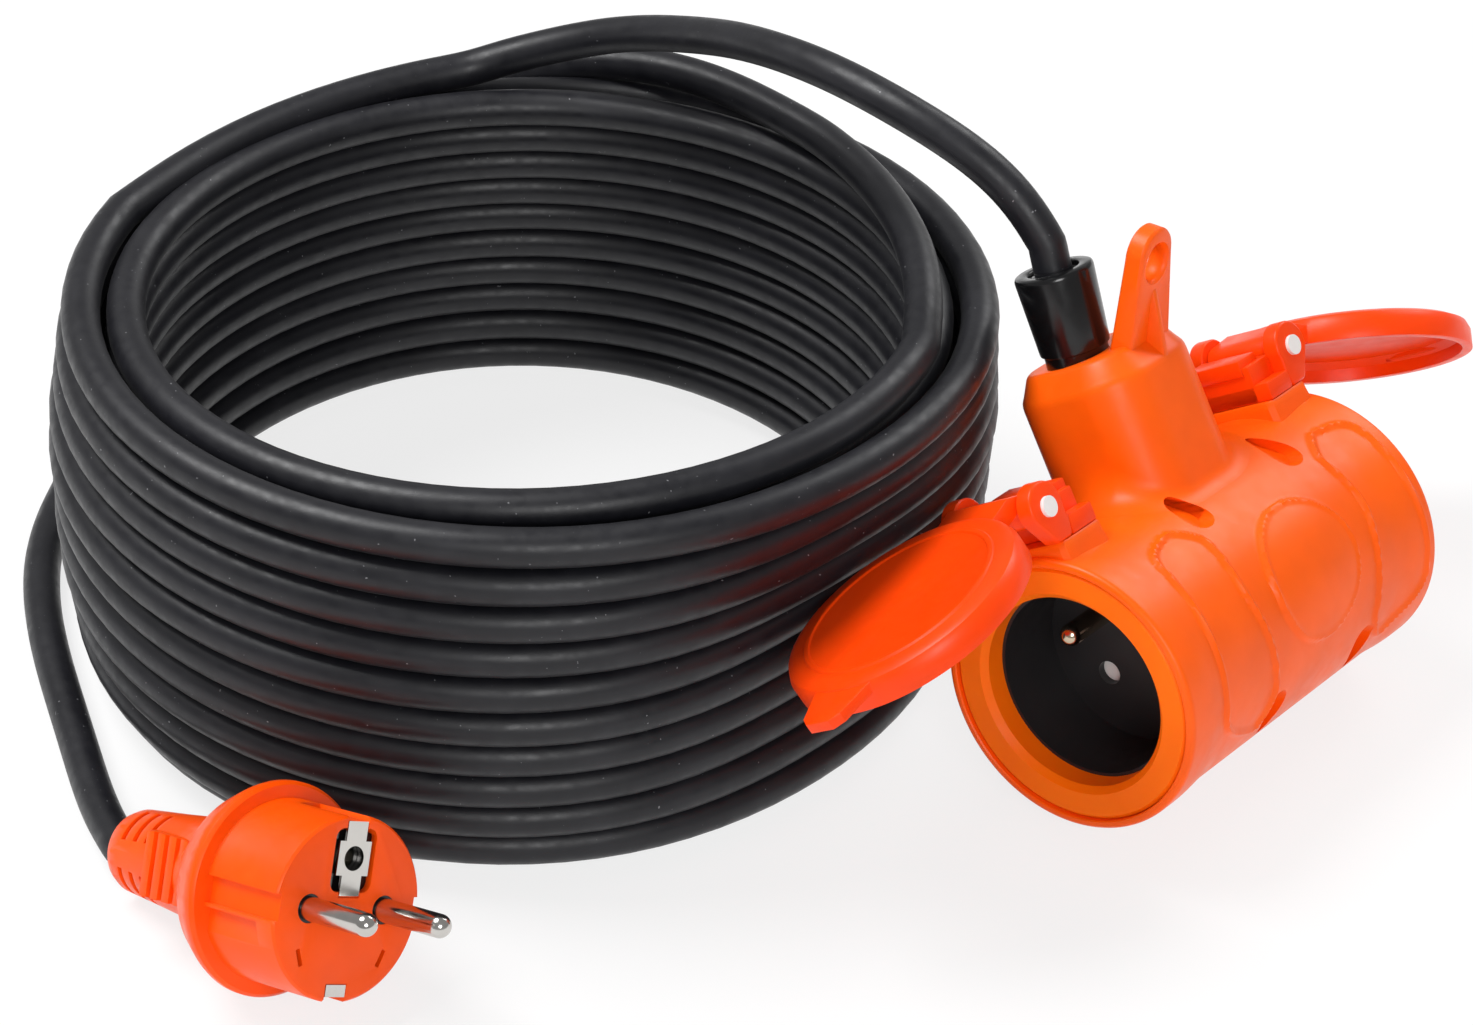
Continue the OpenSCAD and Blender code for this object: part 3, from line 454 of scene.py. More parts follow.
@dataclass(frozen=True)
class Softbox:
    """A round soft lamp, placed from the coil's centre."""

    name: str
    place: Point3
    size: float
    power: float


@dataclass
class Studio:
    """Camera, pale floor and soft light."""

    coil_centre: Vector
    heading: float = VIEW_HEADING
    elevation: float = 33.63
    roll: float = 0.83
    distance: float = 1.0
    shift_right: float = 0.0436
    shift_up: float = 0.02968
    lens: float = 110.3
    sensor: float = 36.0
    clip_end: float = 20.0
    floor_size: float = 12.0
    floor_grey: float = 0.86
    floor_roughness: float = 0.9
    floor_glow: float = 0.79
    sky_strength: float = 0.33
    lamp_target: Point3 = (0.06, 0.03, 0.04)
    lamps: tuple[Softbox, ...] = (
        Softbox("key_softbox", (-0.55, -0.35, 1.25), 0.75, 18.5),
        Softbox("fill_softbox", (0.95, -0.85, 0.75), 0.6, 8.0),
        Softbox("back_softbox", (0.1, 1.1, 0.9), 0.8, 7.0),
    )

    def camera(self) -> None:
        """Place the camera and make it the scene's."""
        turn = turn_about("Z", self.heading) @ turn_about("X", 90.0 - self.elevation)
        offset = turn @ Vector((self.shift_right, self.shift_up, self.distance))
        place = Matrix.Translation(self.coil_centre + offset)
        bpy.ops.object.camera_add()
        camera = bpy.context.object
        camera.matrix_world = place @ turn @ turn_about("Z", self.roll)
        camera.data.lens = self.lens
        camera.data.sensor_width = self.sensor
        camera.data.clip_end = self.clip_end
        bpy.context.scene.camera = camera

    def floor(self) -> None:
        """Lay the pale floor, which keeps the object's shadow."""
        middle = (self.coil_centre.x, self.coil_centre.y, 0.0)
        bpy.ops.mesh.primitive_plane_add(size=self.floor_size, location=middle)
        floor = bpy.context.object
        floor.name = "studio_floor"
        material, tree, shader = new_material("studio_floor")
        shader.inputs["Base Color"].default_value = (*[self.floor_grey] * 3, 1.0)
        shader.inputs["Roughness"].default_value = self.floor_roughness
        shader.inputs["Specular IOR Level"].default_value = 0.0
        paths = tree.nodes.new("ShaderNodeLightPath")
        seen = tree.nodes.new("ShaderNodeMath")
        seen.operation = "MAXIMUM"
        tree.links.new(paths.outputs["Is Camera Ray"], seen.inputs[0])
        tree.links.new(paths.outputs["Is Glossy Ray"], seen.inputs[1])
        share = tree.nodes.new("ShaderNodeMath")
        share.operation = "MULTIPLY"
        share.inputs[1].default_value = self.floor_glow
        tree.links.new(seen.outputs["Value"], share.inputs[0])
        glow = tree.nodes.new("ShaderNodeEmission")
        glow.inputs["Color"].default_value = (*WHITE, 1.0)
        glow.inputs["Strength"].default_value = 1.0
        mix = tree.nodes.new("ShaderNodeMixShader")
        tree.links.new(share.outputs["Value"], mix.inputs["Fac"])
        tree.links.new(shader.outputs["BSDF"], mix.inputs[1])
        tree.links.new(glow.outputs["Emission"], mix.inputs[2])
        tree.links.new(mix.outputs["Shader"], tree.nodes["Material Output"].inputs["Surface"])
        floor.data.materials.append(material)

    def lights(self) -> None:
        """Hang the soft lamps and set the world's fill."""
        world = bpy.data.worlds.new("studio_world")
        bpy.context.scene.world = world
        world.use_nodes = True
        sky = world.node_tree.nodes["Background"]
        sky.inputs["Color"].default_value = (*WHITE, 1.0)
        sky.inputs["Strength"].default_value = self.sky_strength
        for softbox in self.lamps:
            place = Vector(softbox.place) + self.coil_centre
            bpy.ops.object.light_add(type="AREA", location=place)
            lamp = bpy.context.object
            lamp.name = softbox.name
            lamp.data.shape = "DISK"
            lamp.data.size = softbox.size
            lamp.data.energy = softbox.power
            aim = (self.coil_centre + Vector(self.lamp_target)) - lamp.location
            lamp.rotation_euler = aim.to_track_quat("-Z", "Y").to_euler()

    def build(self) -> None:
        """Make the whole studio."""
        self.camera()
        self.floor()
        self.lights()
        bpy.context.scene.view_settings.view_transform = "Standard"


# ---------------------------------------------------------------- cord


@dataclass
class CordRun:
    """The cord: stretch from the gland, two layers of turns, stretch to the plug.

    Its sizes are in millimetres from the coil's centre.
    """

    centre: Vector
    radius: float = 4.1
    pitch: float = 8.65
    layer_step: float = 9.4
    outer_turns: float = 10.296
    inner_turns: float = 10.496
    coil_radius: float = 94.0
    heading: float = VIEW_HEADING
    outer_start: float = 110.0
    belly: float = 4.0
    shift: Point2 = (-5.0, 16.7)
    widen: Point2 = (-1.3, 8.3)
    dent_depth: float = 9.0
    dent_heading: float = -44.0
    dent_width: float = 26.0
    step_start: float = -0.25
    step_length: float = 0.6
    unevenness: float = 1.2
    wave_rates: Point2 = (1.37, 0.31)
    points_per_turn: int = 90
    points_per_span: int = 6
    sides: int = 20
    held_points: int = 5
    joint_reach: int = 12
    joint_easing: int = 30
    floor_stretch: int = 62
    floor_easing: int = 70
    gland_mouth: Point3 = (89.2, 62.3, 100.9)
    gland_axis: Point3 = (-0.4158, 0.0629, 0.9073)
    plug_mouth: Point3 = (-9.0, -116.4, 8.7)
    plug_axis: Point3 = (-0.9527, 0.0833, -0.2924)
    socket_lead: tuple[Point3, ...] = (
        (-65.5, 68, 96.5), (-54, 74.5, 101), (-41.5, 77.5, 106.5), (-28, 77, 111.5),
        (-15.5, 74.5, 116), (-3, 70.5, 121), (9.5, 66, 125), (22.5, 62, 128),
        (36, 59, 129.5), (50, 57.5, 128.5), (63.5, 58.5, 125), (76.5, 61.5, 118.5),
    )
    plug_lead: tuple[Point3, ...] = (
        (2.5, 87, 95.5), (-13, 90, 95.5), (-29, 91, 95), (-44.5, 89.5, 93.5),
        (-59.5, 85.5, 90.5), (-72.5, 79.5, 85), (-83.5, 72, 78), (-93.5, 64, 68.5),
        (-101.5, 56, 58.5), (-108, 47.5, 47.5), (-113.5, 38.5, 36), (-117, 27.5, 25.5),
        (-120, 15, 16.5), (-122.5, 1, 10), (-123, -13.5, 6), (-119.5, -28.5, 4.5),
        (-112, -42, 4.1), (-102, -53.5, 4.1), (-90.5, -63.5, 4.1), (-78.5, -73.5, 4.1),
        (-66, -82, 4.1), (-53, -90.5, 4.1), (-40.5, -99.5, 4.1), (-28.5, -109.5, 4.3),
    )
    plug_pieces: tuple[str, ...] = (
        "plug_body_soft", "plug_carrier", "plug_pins", "plug_earth_clip", "plug_crimps",
        "plug_cord_end", "plug_line_core", "plug_neutral_core", "plug_earth_core",
    )

    def coil_point(self, turns: float) -> Vector:
        """Return a point of the coil's centre line.

        Args:
            turns: Turns wound since the block's end of the cord.

        Returns:
            The point.
        """
        top = self.radius + self.outer_turns * self.pitch
        height = self.radius + self.pitch * abs(self.outer_turns - turns)
        sag = min(1.0, max(0.0, (top - height) / (top - self.radius)))
        swell = math.sin(math.pi * sag)
        heading = self.outer_start + 360.0 * turns
        crossing = smooth((turns - self.outer_turns - self.step_start) / self.step_length)
        off = ((heading + 180.0) % 360.0 - 180.0 - self.dent_heading) / self.dent_width
        reach = self.coil_radius + self.belly * swell - self.layer_step * crossing
        reach -= self.dent_depth * math.exp(-off * off) * swell
        quick, slow = self.wave_rates
        wave = math.sin(math.tau * quick * turns) * math.cos(math.tau * slow * turns)
        reach += (1.0 - 2.0 * crossing) * self.unevenness * (0.5 + 0.5 * wave) * swell
        turn = math.radians(heading)
        flat = Vector((
            self.shift[0] * sag + (reach + self.widen[0] * sag) * math.cos(turn),
            self.shift[1] * sag + (reach + self.widen[1] * sag) * math.sin(turn),
            height,
        ))
        return turn_about("Z", self.heading) @ flat

    def centre_line(self) -> list[Vector]:
        """Return the cord's centre line from the gland to the plug.

        Returns:
            Closely spaced points, in metres in the part's own frame.
        """
        turns = self.outer_turns + self.inner_turns
        count = round(turns * self.points_per_turn)
        coil = [self.coil_point(turns * i / count) for i in range(count + 1)]
        straight = 2.0 * self.radius
        first = coil[0] + straight * (coil[0] - coil[1]).normalized()
        last = coil[-1] + straight * (coil[-1] - coil[-2]).normalized()
        gland, gland_way = Vector(self.gland_mouth), Vector(self.gland_axis)
        plug, plug_way = Vector(self.plug_mouth), Vector(self.plug_axis)
        lead_in = [gland, gland + straight * gland_way]
        lead_in += [Vector(p) for p in reversed(self.socket_lead)]
        lead_in += [2.0 * first - coil[0], first, coil[0]]
        lead_out = [coil[-1], last, 2.0 * last - coil[-1]]
        lead_out += [Vector(p) for p in self.plug_lead]
        lead_out += [plug + straight * plug_way, plug]
        line = rounded_line(lead_in, self.points_per_span)
        joint = len(line)
        line += coil[1:-1]
        held = self.held_points
        line = relaxed(line, held, joint + self.joint_reach, self.joint_easing)
        joint = len(line)
        line += rounded_line(lead_out, self.points_per_span)
        end = len(line)
        line = relaxed(line, joint - self.joint_reach, end - held, self.joint_easing)
        line = relaxed(line, end - self.floor_stretch, end - held, self.floor_easing)
        return [self.centre + MM * point for point in line]

    def build(self, paint: Paintbox) -> Piece:
        """Lay the cord along its centre line.

        Args:
            paint: The materials.

        Returns:
            The cord's object.
        """
        line = self.centre_line()
        curve = bpy.data.curves.new("cord", "CURVE")
        curve.dimensions = "3D"
        curve.bevel_depth = self.radius * MM
        # A curve is rounded with twice as many sides as its resolution plus two.
        curve.bevel_resolution = self.sides // 2 - 2
        curve.use_fill_caps = True
        spline = curve.splines.new("POLY")
        spline.points.add(len(line) - 1)
        for point, place in zip(spline.points, line):
            point.co = (*place, 1.0)
        cord = bpy.data.objects.new("cord", curve)
        bpy.context.scene.collection.objects.link(cord)
        make_active(cord)
        bpy.ops.object.convert(target="MESH")
        cord = bpy.context.object
        bpy.ops.object.shade_smooth()
        paint.dress(cord, SHEATH)
        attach(cord, MAIN_BODY)
        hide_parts("cord_coil", "cord_socket_lead", "cord_plug_lead")
        LOG.info("cord laid")
        return cord

    def declare(self) -> None:
        """Work out the cord's centre line once more; nothing further is done with it.
        """
        line = self.centre_line()


def relaxed(line: list[Vector], first: int, last: int, passes: int) -> list[Vector]:
    """Even out a stretch of a line as a stiff cord would lie.

    Args:
        line: The points.
        first: Number of the first point that may move.
        last: Number after the last one that may move.
        passes: How often each point moves towards its neighbours.

    Returns:
        The line with the stretch evened out.
    """
    result = list(line)
    for _ in range(passes):
        result[first:last] = [
            0.25 * result[i - 1] + 0.5 * result[i] + 0.25 * result[i + 1]
            for i in range(first, last)
        ]
    return result


def rounded_line(points: list[Vector], steps: int) -> list[Vector]:
    """Thread a smooth line through points.

    Args:
        points: The points that it passes.
        steps: Pieces between two neighbouring points.

    Returns:
        The finer points, ends included.
    """
    result = []
    last = len(points) - 1
    for i in range(last):
        before = points[max(0, i - 1)]
        start, end = points[i], points[i + 1]
        after = points[min(last, i + 2)]
        span = (end - start).length
        leave = (end - before).normalized() * span
        arrive = (after - start).normalized() * span
        for k in range(steps):
            t = k / steps
            # Hermite weights of the two ends and of the ways through them.
            a = 2 * t**3 - 3 * t**2 + 1
            b = t**3 - 2 * t**2 + t
            c = -2 * t**3 + 3 * t**2
            d = t**3 - t**2
            result.append(a * start + b * leave + c * end + d * arrive)
    result.append(points[-1])
    return result


# ---------------------------------------------------------------- mesh tools

SEAM_MERGE_MM = 0.001
SOFT_EDGE_TURN = 28.0
SOFT_EDGE_STEPS = 2


def face_outwards(piece: Piece, merge: float = 0.0) -> None:
    """Turn every face of a closed piece outwards.

    Args:
        piece: The object.
        merge: Distance under which doubles are merged first.
    """
    make_active(piece)
    bpy.ops.object.mode_set(mode="EDIT")
    bpy.ops.mesh.select_all(action="SELECT")
    if merge:
        bpy.ops.mesh.remove_doubles(threshold=merge)
    bpy.ops.mesh.normals_make_consistent(inside=False)
    bpy.ops.object.mode_set(mode="OBJECT")


def pick_points(piece: Piece, chosen: set[int]) -> None:
    """Select the vertices with given numbers, and nothing else.

    Args:
        piece: The object, in object mode.
        chosen: Vertex numbers.
    """
    for polygon in piece.data.polygons:
        polygon.select = False
    for edge in piece.data.edges:
        edge.select = edge.vertices[0] in chosen and edge.vertices[1] in chosen
    for vertex in piece.data.vertices:
        vertex.select = vertex.index in chosen


def loft(name: str, rings: list[list[Vector]]) -> Piece:
    """Make a closed skin through rings of points by extruding ring after ring.

    Args:
        name: The piece's name.
        rings: Rings of equally many points, end to end.

    Returns:
        The capped piece.
    """
    count = len(rings[0])
    deselect_all()
    bpy.ops.mesh.primitive_circle_add(vertices=count, radius=1.0, fill_type="NGON")
    piece = bpy.context.object
    piece.name = name
    order = list(range(count))
    for number, point in zip(order, rings[0]):
        piece.data.vertices[number].co = point
    for ring in rings[1:]:
        # An extruded point starts on the one that it comes from, which tells its number.
        place = {tuple(piece.data.vertices[number].co): k for k, number in enumerate(order)}
        first_new = len(piece.data.vertices)
        pick_points(piece, set(order))
        bpy.ops.object.mode_set(mode="EDIT")
        bpy.ops.mesh.extrude_edges_move()
        bpy.ops.object.mode_set(mode="OBJECT")
        for number in range(first_new, first_new + count):
            order[place[tuple(piece.data.vertices[number].co)]] = number
        for number, point in zip(order, ring):
            piece.data.vertices[number].co = point
    pick_points(piece, set(order))
    bpy.ops.object.mode_set(mode="EDIT")
    bpy.ops.mesh.edge_face_add()
    bpy.ops.object.mode_set(mode="OBJECT")
    face_outwards(piece)
    return piece


def lathe(name: str, profile: list[Point2], steps: int) -> Piece:
    """Spin a closed outline about Y.

    Args:
        name: The piece's name.
        profile: The outline's points, in millimetres, each a radius and a Y.
        steps: Steps of the full turn.

    Returns:
        The closed ring.
    """
    deselect_all()
    bpy.ops.mesh.primitive_circle_add(vertices=len(profile), radius=1.0)
    piece = bpy.context.object
    piece.name = name
    for vertex, (radius, y) in zip(piece.data.vertices, profile):
        vertex.co = (radius, y, 0.0)
    bpy.ops.object.mode_set(mode="EDIT")
    bpy.ops.mesh.select_all(action="SELECT")
    bpy.ops.mesh.spin(
        steps=steps, angle=math.tau, center=(0.0, 0.0, 0.0), axis=(0.0, 1.0, 0.0)
    )
    bpy.ops.object.mode_set(mode="OBJECT")
    face_outwards(piece, merge=SEAM_MERGE_MM)
    return piece


def rounded_square(
    width: float, depth: float, radius: float, count: int
) -> list[tuple[Vector, Vector]]:
    """Return points round a rectangle with round corners, each with its outward way.

    Args:
        width: Size along X.
        depth: Size along Y.
        radius: Corner radius.
        count: Number of points, a multiple of 8.

    Returns:
        Pairs of point and outward unit vector, in the XY plane.
    """
    half_x, half_y = width / 2.0 - radius, depth / 2.0 - radius
    corner = math.pi / 2.0 * radius
    sides = (2.0 * half_y, 2.0 * half_x)
    total = 4.0 * corner + 2.0 * sum(sides)
    result = []
    for k in range(count):
        s = (total * k / count + half_y) % total
        for quarter in range(4):
            side = sides[quarter % 2]
            turn = Matrix.Rotation(math.pi / 2.0 * quarter, 3, "Z")
            reach = (half_x, half_y) if quarter % 2 == 0 else (half_y, half_x)
            if s < side:
                normal = Vector((1.0, 0.0, 0.0))
                point = Vector((reach[0] + radius, s - reach[1], 0.0))
                break
            s -= side
            if s < corner:
                swing = s / radius
                normal = Vector((math.cos(swing), math.sin(swing), 0.0))
                point = Vector((*reach, 0.0)) + radius * normal
                break
            s -= corner
        result.append((turn @ point, turn @ normal))
    return result


def closed_line(
    corners: list[Point2], step: float, shares: tuple[float, ...] = (0.13, 0.25, 0.25)
) -> list[Point2]:
    """Round a closed outline's corners and return close points along it.

    Args:
        corners: The outline's corners.
        step: Distance between the points.
        shares: Share of each side that each round of corner cutting takes off.

    Returns:
        The points.
    """
    line = list(corners)
    for share in shares:
        finer = []
        for a, b in zip(line, line[1:] + line[:1]):
            finer.append((a[0] + share * (b[0] - a[0]), a[1] + share * (b[1] - a[1])))
            finer.append((b[0] + share * (a[0] - b[0]), b[1] + share * (a[1] - b[1])))
        line = finer
    points = []
    for a, b in zip(line, line[1:] + line[:1]):
        count = max(1, math.ceil(math.dist(a, b) / step))
        points += [
            (a[0] + (b[0] - a[0]) * k / count, a[1] + (b[1] - a[1]) * k / count)
            for k in range(count)
        ]
    return points


def cut_away(piece: Piece, cutter: Piece) -> None:
    """Cut one piece out of another and remove the cutter.

    Args:
        piece: The object that is cut.
        cutter: The closed object that cuts it.
    """
    make_active(piece)
    modifier = piece.modifiers.new("cut", "BOOLEAN")
    modifier.operation = "DIFFERENCE"
    modifier.solver = "EXACT"
    modifier.object = cutter
    bpy.ops.object.modifier_apply(modifier=modifier.name)
    bpy.data.objects.remove(cutter, do_unlink=True)


def soften_edges(piece: Piece, width: float) -> None:
    """Bevel a piece's sharp edges.

    Args:
        piece: The object.
        width: Width of the bevel in the mesh's own units.
    """
    make_active(piece)
    modifier = piece.modifiers.new("soft_edges", "BEVEL")
    modifier.width = width
    modifier.segments = SOFT_EDGE_STEPS
    modifier.limit_method = "ANGLE"
    modifier.angle_limit = math.radians(SOFT_EDGE_TURN)
    modifier.harden_normals = False
    bpy.ops.object.modifier_apply(modifier=modifier.name)


def join_pieces(pieces: list[Piece], name: str) -> Piece:
    """Join pieces into one object.

    Args:
        pieces: The objects; the first one keeps its place.
        name: The joined object's name.

    Returns:
        The joined object.
    """
    make_active(pieces[0])
    for piece in pieces[1:]:
        piece.select_set(True)
    bpy.ops.object.join()
    joined = bpy.context.object
    joined.name = name
    return joined


def settle(piece: Piece, place: Matrix, angle: float) -> None:
    """Move a piece's mesh to its place and smooth it.

    Args:
        piece: The object, at the origin.
        place: Where the mesh goes.
        angle: Greatest turn between faces that is smoothed over, in degrees.
    """
    piece.data.transform(place)
    piece.data.update()
    make_active(piece)
    bpy.ops.object.shade_smooth_by_angle(angle=math.radians(angle), keep_sharp_edges=True)


# ---------------------------------------------------------------- socket block


@dataclass(frozen=True)
class BlockFrame:
    """The socket block's own frame, in millimetres: axis along Y, neck up."""

    origin: Point3 = (9.2, 0.3, 33.4308)
    pitch: float = 4.0
    roll: float = 32.5

    def place(self) -> Matrix:
        """Return the turn, move and scale from the block's frame to the part's."""
        lean = turn_about("X", -self.pitch) @ turn_about("Y", -self.roll)
        return Matrix.Translation(MM * Vector(self.origin)) @ lean @ Matrix.Scale(MM, 4)


@dataclass
class HangingEye:
    """The eye that leans from the neck's top: a holed plate with a rib, in the block's frame.

    A layer is a place along X and how far the outline is drawn in there.
    """

    root: Point3 = (12.7, 2.2, 57.0)
    lean: float = 31.0
    steps: int = 72
    head_r: float = 5.8
    head_z: float = 20.1
    head_end: float = -0.05
    side_top: float = 19.8
    side_drop: float = 23.2
    side_spread: float = 2.8
    side_rate: float = 1.35
    corner_rate: float = 2.2
    back_from: float = -2.0
    back_taper: float = 0.8
    back_height: float = 26.0
    layers: tuple[Point2, ...] = (
        (-4.4, 0.9), (-4.2, 0.35), (-3.8, 0.0), (-0.7, 0.0), (-0.25, 0.3), (0.0, 0.85),
    )
    hole_steps: int = 48
    hole_z: float = 18.2
    hole_stretch: float = 1.06
    hole_layers: tuple[Point2, ...] = (
        (5.4, -5.6), (4.05, -4.1), (3.7, -3.2), (3.7, -1.0), (4.05, -0.35), (5.4, 0.9),
    )
    rib_back: tuple[Point3, ...] = (
        (-1.5, -1.5, 12.2), (-1.5, 1.5, 12.2), (-1.5, 1.9, -6.0), (-1.5, -1.9, -6.0),
    )
    rib_front: tuple[Point3, ...] = (
        (0.1, -0.6, 12.2), (0.1, 0.6, 12.2), (5.6, 0.8, -6.0), (5.6, -0.8, -6.0),
    )
    rib_edge: float = 0.3

    def outline(self) -> list[tuple[Vector, Vector]]:
        """Return the plate's round head and spreading sides, seen along X.

        Returns:
            Pairs of point and outward unit vector.
        """
        points = []
        for k in range(self.steps):
            swing = math.tau * k / self.steps
            out = Vector((0.0, math.cos(swing), math.sin(swing)))
            if out.z >= self.head_end:
                points.append((Vector((0.0, 0.0, self.head_z)) + self.head_r * out, out))
                continue
            down = (self.head_end - out.z) / (1.0 + self.head_end)
            side = math.copysign(min(1.0, abs(out.y) * self.corner_rate), out.y)
            y = (self.head_r + self.side_spread * down) * side
            z = self.side_top - self.side_drop * min(1.0, down * self.side_rate)
            points.append((Vector((0.0, y, z)), out))
        return points

    def plate(self) -> Piece:
        """Return the plate, thicker towards its foot, with its flared hole.

        Returns:
            The plate, standing on its root.
        """
        outline = self.outline()
        rings = []
        for x, inset in self.layers:
            taper = self.back_taper if x < self.back_from else 0.0
            rings.append([
                point - inset * out
                + Vector((x - taper * (1.0 - point.z / self.back_height), 0.0, 0.0))
                for point, out in outline
            ])
        plate = loft("eye_plate", rings)
        swings = [math.tau * k / self.hole_steps for k in range(self.hole_steps)]
        hole = loft("eye_hole", [
            [
                Vector((
                    x, r * math.cos(swing),
                    self.hole_z + self.hole_stretch * r * math.sin(swing),
                ))
                for swing in swings
            ]
            for r, x in self.hole_layers
        ])
        cut_away(plate, hole)
        return plate

    def build(self) -> Piece:
        """Return the whole eye at its place on the neck.

        Returns:
            The eye, in the block's frame.
        """
        plate = self.plate()
        rib = loft("eye_rib", [
            [Vector(corner) for corner in side] for side in (self.rib_back, self.rib_front)
        ])
        soften_edges(rib, self.rib_edge)
        eye = join_pieces([plate, rib], "housing_eye")
        eye.data.transform(
            Matrix.Translation(Vector(self.root)) @ turn_about("Y", self.lean)
        )
        return eye


@dataclass
class SocketHousing:
    """The block's moulded shell, drawn in the block's frame.

    Turns are counted from the neck's side, and the bead's corners are a turn and a Y. The
    neck's shoulder and the hinge foot's layers say how far the outline is drawn in or grown,
    and how far below the top.
    """

    frame: BlockFrame = BlockFrame()
    steps: int = 288
    smooth_turn: float = 32.0
    body_r: float = 29.4
    rim_step: float = 0.7
    half_length: float = 48.8
    flare_start: float = 32.8
    flare_end: float = 43.8
    lip: float = 1.2
    lip_steps: int = 5
    mouth_r: float = 28.2
    mouth_y: float = 44.0
    mouth_chamfer: float = 0.25
    cavity_r: float = 25.6
    cavity_y: float = 15.0
    ring_step: float = 0.56
    outside_r: float = 28.8
    bead_height: float = 0.85
    bead_reach: float = 1.2
    bead_step: float = 0.3
    bead_outline: tuple[Point2, ...] = (
        (45.6, -34.5), (40.0, -23.6), (51.0, -17.8), (77.0, -19.7),
        (106.5, -16.7), (127.0, -15.4), (142.5, -19.9), (127.0, -36.0),
    )
    feature_y: float = 4.6
    pad_turn: float = 87.1
    pad_r: float = 15.8
    pad_height: float = 0.6
    pad_crown: float = 0.7
    pad_edge: Point2 = (0.7, 1.1)
    pad_bead: float = 0.35
    pad_bead_reach: float = 0.9
    drop_y: float = 17.5
    drop_turns: Point2 = (37.5, 140.0)
    drop_height: float = 8.0
    drop_width: float = 6.8
    drop_depth: float = 2.8
    drop_point: float = 0.38
    drop_steps: int = 40
    cutter_proud: float = 3.0
    neck_x: float = -0.5
    neck_w: float = 32.3
    neck_corner: float = 10.8
    neck_steps: int = 144
    neck_top: float = 59.0
    neck_shoulder: tuple[Point2, ...] = (
        (4.6, 0.0), (3.9, 0.1), (3.3, 0.42), (2.85, 0.9), (1.15, 3.9), (0.72, 4.55),
        (0.32, 5.2), (0.08, 6.0), (0.0, 7.0),
    )
    neck_foot: float = 8.5
    neck_foot_easing: float = 0.45
    neck_foot_steps: int = 12
    neck_wall_heights: Point3 = (6.2, 3.2, 0.2)
    neck_skirt: float = 1.6
    neck_skirt_sunk: float = 0.25
    neck_root: Point2 = (0.8, 18.0)
    foot_w: float = 24.8
    foot_y: Point2 = (33.0, 47.0)
    foot_top: float = 31.5
    foot_corner: float = 1.6
    foot_steps: int = 48
    foot_growth: Point2 = (2.0, 1.4)
    foot_layers: tuple[Point2, ...] = (
        (-0.8, 0.0), (-0.25, 0.12), (0.0, 0.5), (0.1, 2.0), (0.4, 4.5), (0.8, 7.5),
    )

    def profile(self) -> list[Point2]:
        """Return the shell's outline from the inside round the outside.

        Returns:
            Points, each a radius and a Y.
        """
        rim_r = self.body_r + self.rim_step
        lip_y = self.half_length - self.lip
        count = math.ceil(2.0 * lip_y / self.ring_step)
        outside = []
        for i in range(count + 1):
            y = lip_y * (2.0 * i / count - 1.0)
            swell = smooth((abs(y) - self.flare_start) / (self.flare_end - self.flare_start))
            outside.append((self.body_r + self.rim_step * swell, y))
        end = []
        for i in range(1, self.lip_steps + 1):
            swing = math.pi / 2.0 * i / self.lip_steps
            radius = rim_r - self.lip * (1.0 - math.cos(swing))
            end.append((radius, lip_y + self.lip * math.sin(swing)))
        end += [
            (self.mouth_r + self.mouth_chamfer, self.half_length),
            (self.mouth_r, self.half_length - self.mouth_chamfer),
            (self.mouth_r, self.mouth_y), (self.cavity_r, self.mouth_y),
            (self.cavity_r, self.cavity_y),
        ]
        start = [(radius, -y) for radius, y in reversed(end)]
        return start + outside + end

    def bead_marks(self, arc: float) -> KDTree:
        """Return the bead outlines' points, ready for a search by distance.

        Args:
            arc: Length of one degree of turn on the shell.

        Returns:
            The points, each a length round the shell and a Y.
        """
        outlines = [
            [(turn * arc, y) for turn, y in self.bead_outline],
            [(turn * arc, 2.0 * self.feature_y - y) for turn, y in self.bead_outline],
        ]
        marks = [mark for outline in outlines for mark in closed_line(outline, self.bead_step)]
        tree = KDTree(len(marks))
        for number, (u, y) in enumerate(marks):
            tree.insert((u, y, 0.0), number)
        tree.balance()
        return tree

    def raise_beads(self, shell: Piece) -> None:
        """Raise the bead outlines and the domed pads on both sides.

        Args:
            shell: The spun shell.
        """
        arc = math.radians(1.0) * self.body_r
        tree = self.bead_marks(arc)
        inside, fade = self.pad_edge
        for vertex in shell.data.vertices:
            x, y, z = vertex.co
            radius = math.hypot(x, z)
            if radius < self.outside_r or abs(y) > self.half_length - self.lip:
                continue
            u = math.degrees(math.atan2(abs(x), z)) * arc
            gap = tree.find((u, y, 0.0))[2]
            lift = self.bead_height * (1.0 - smooth(gap / self.bead_reach))
            away = math.hypot(u - self.pad_turn * arc, y - self.feature_y)
            dome = self.pad_crown * max(0.0, 1.0 - (away / self.pad_r) ** 2)
            lift += (1.0 - smooth((away - self.pad_r + inside) / fade)) * (self.pad_height + dome)
            beside = abs(away - self.pad_r + self.pad_bead_reach) / self.pad_bead_reach
            lift += self.pad_bead * (1.0 - smooth(beside))
            vertex.co.x = x * (radius + lift) / radius
            vertex.co.z = z * (radius + lift) / radius

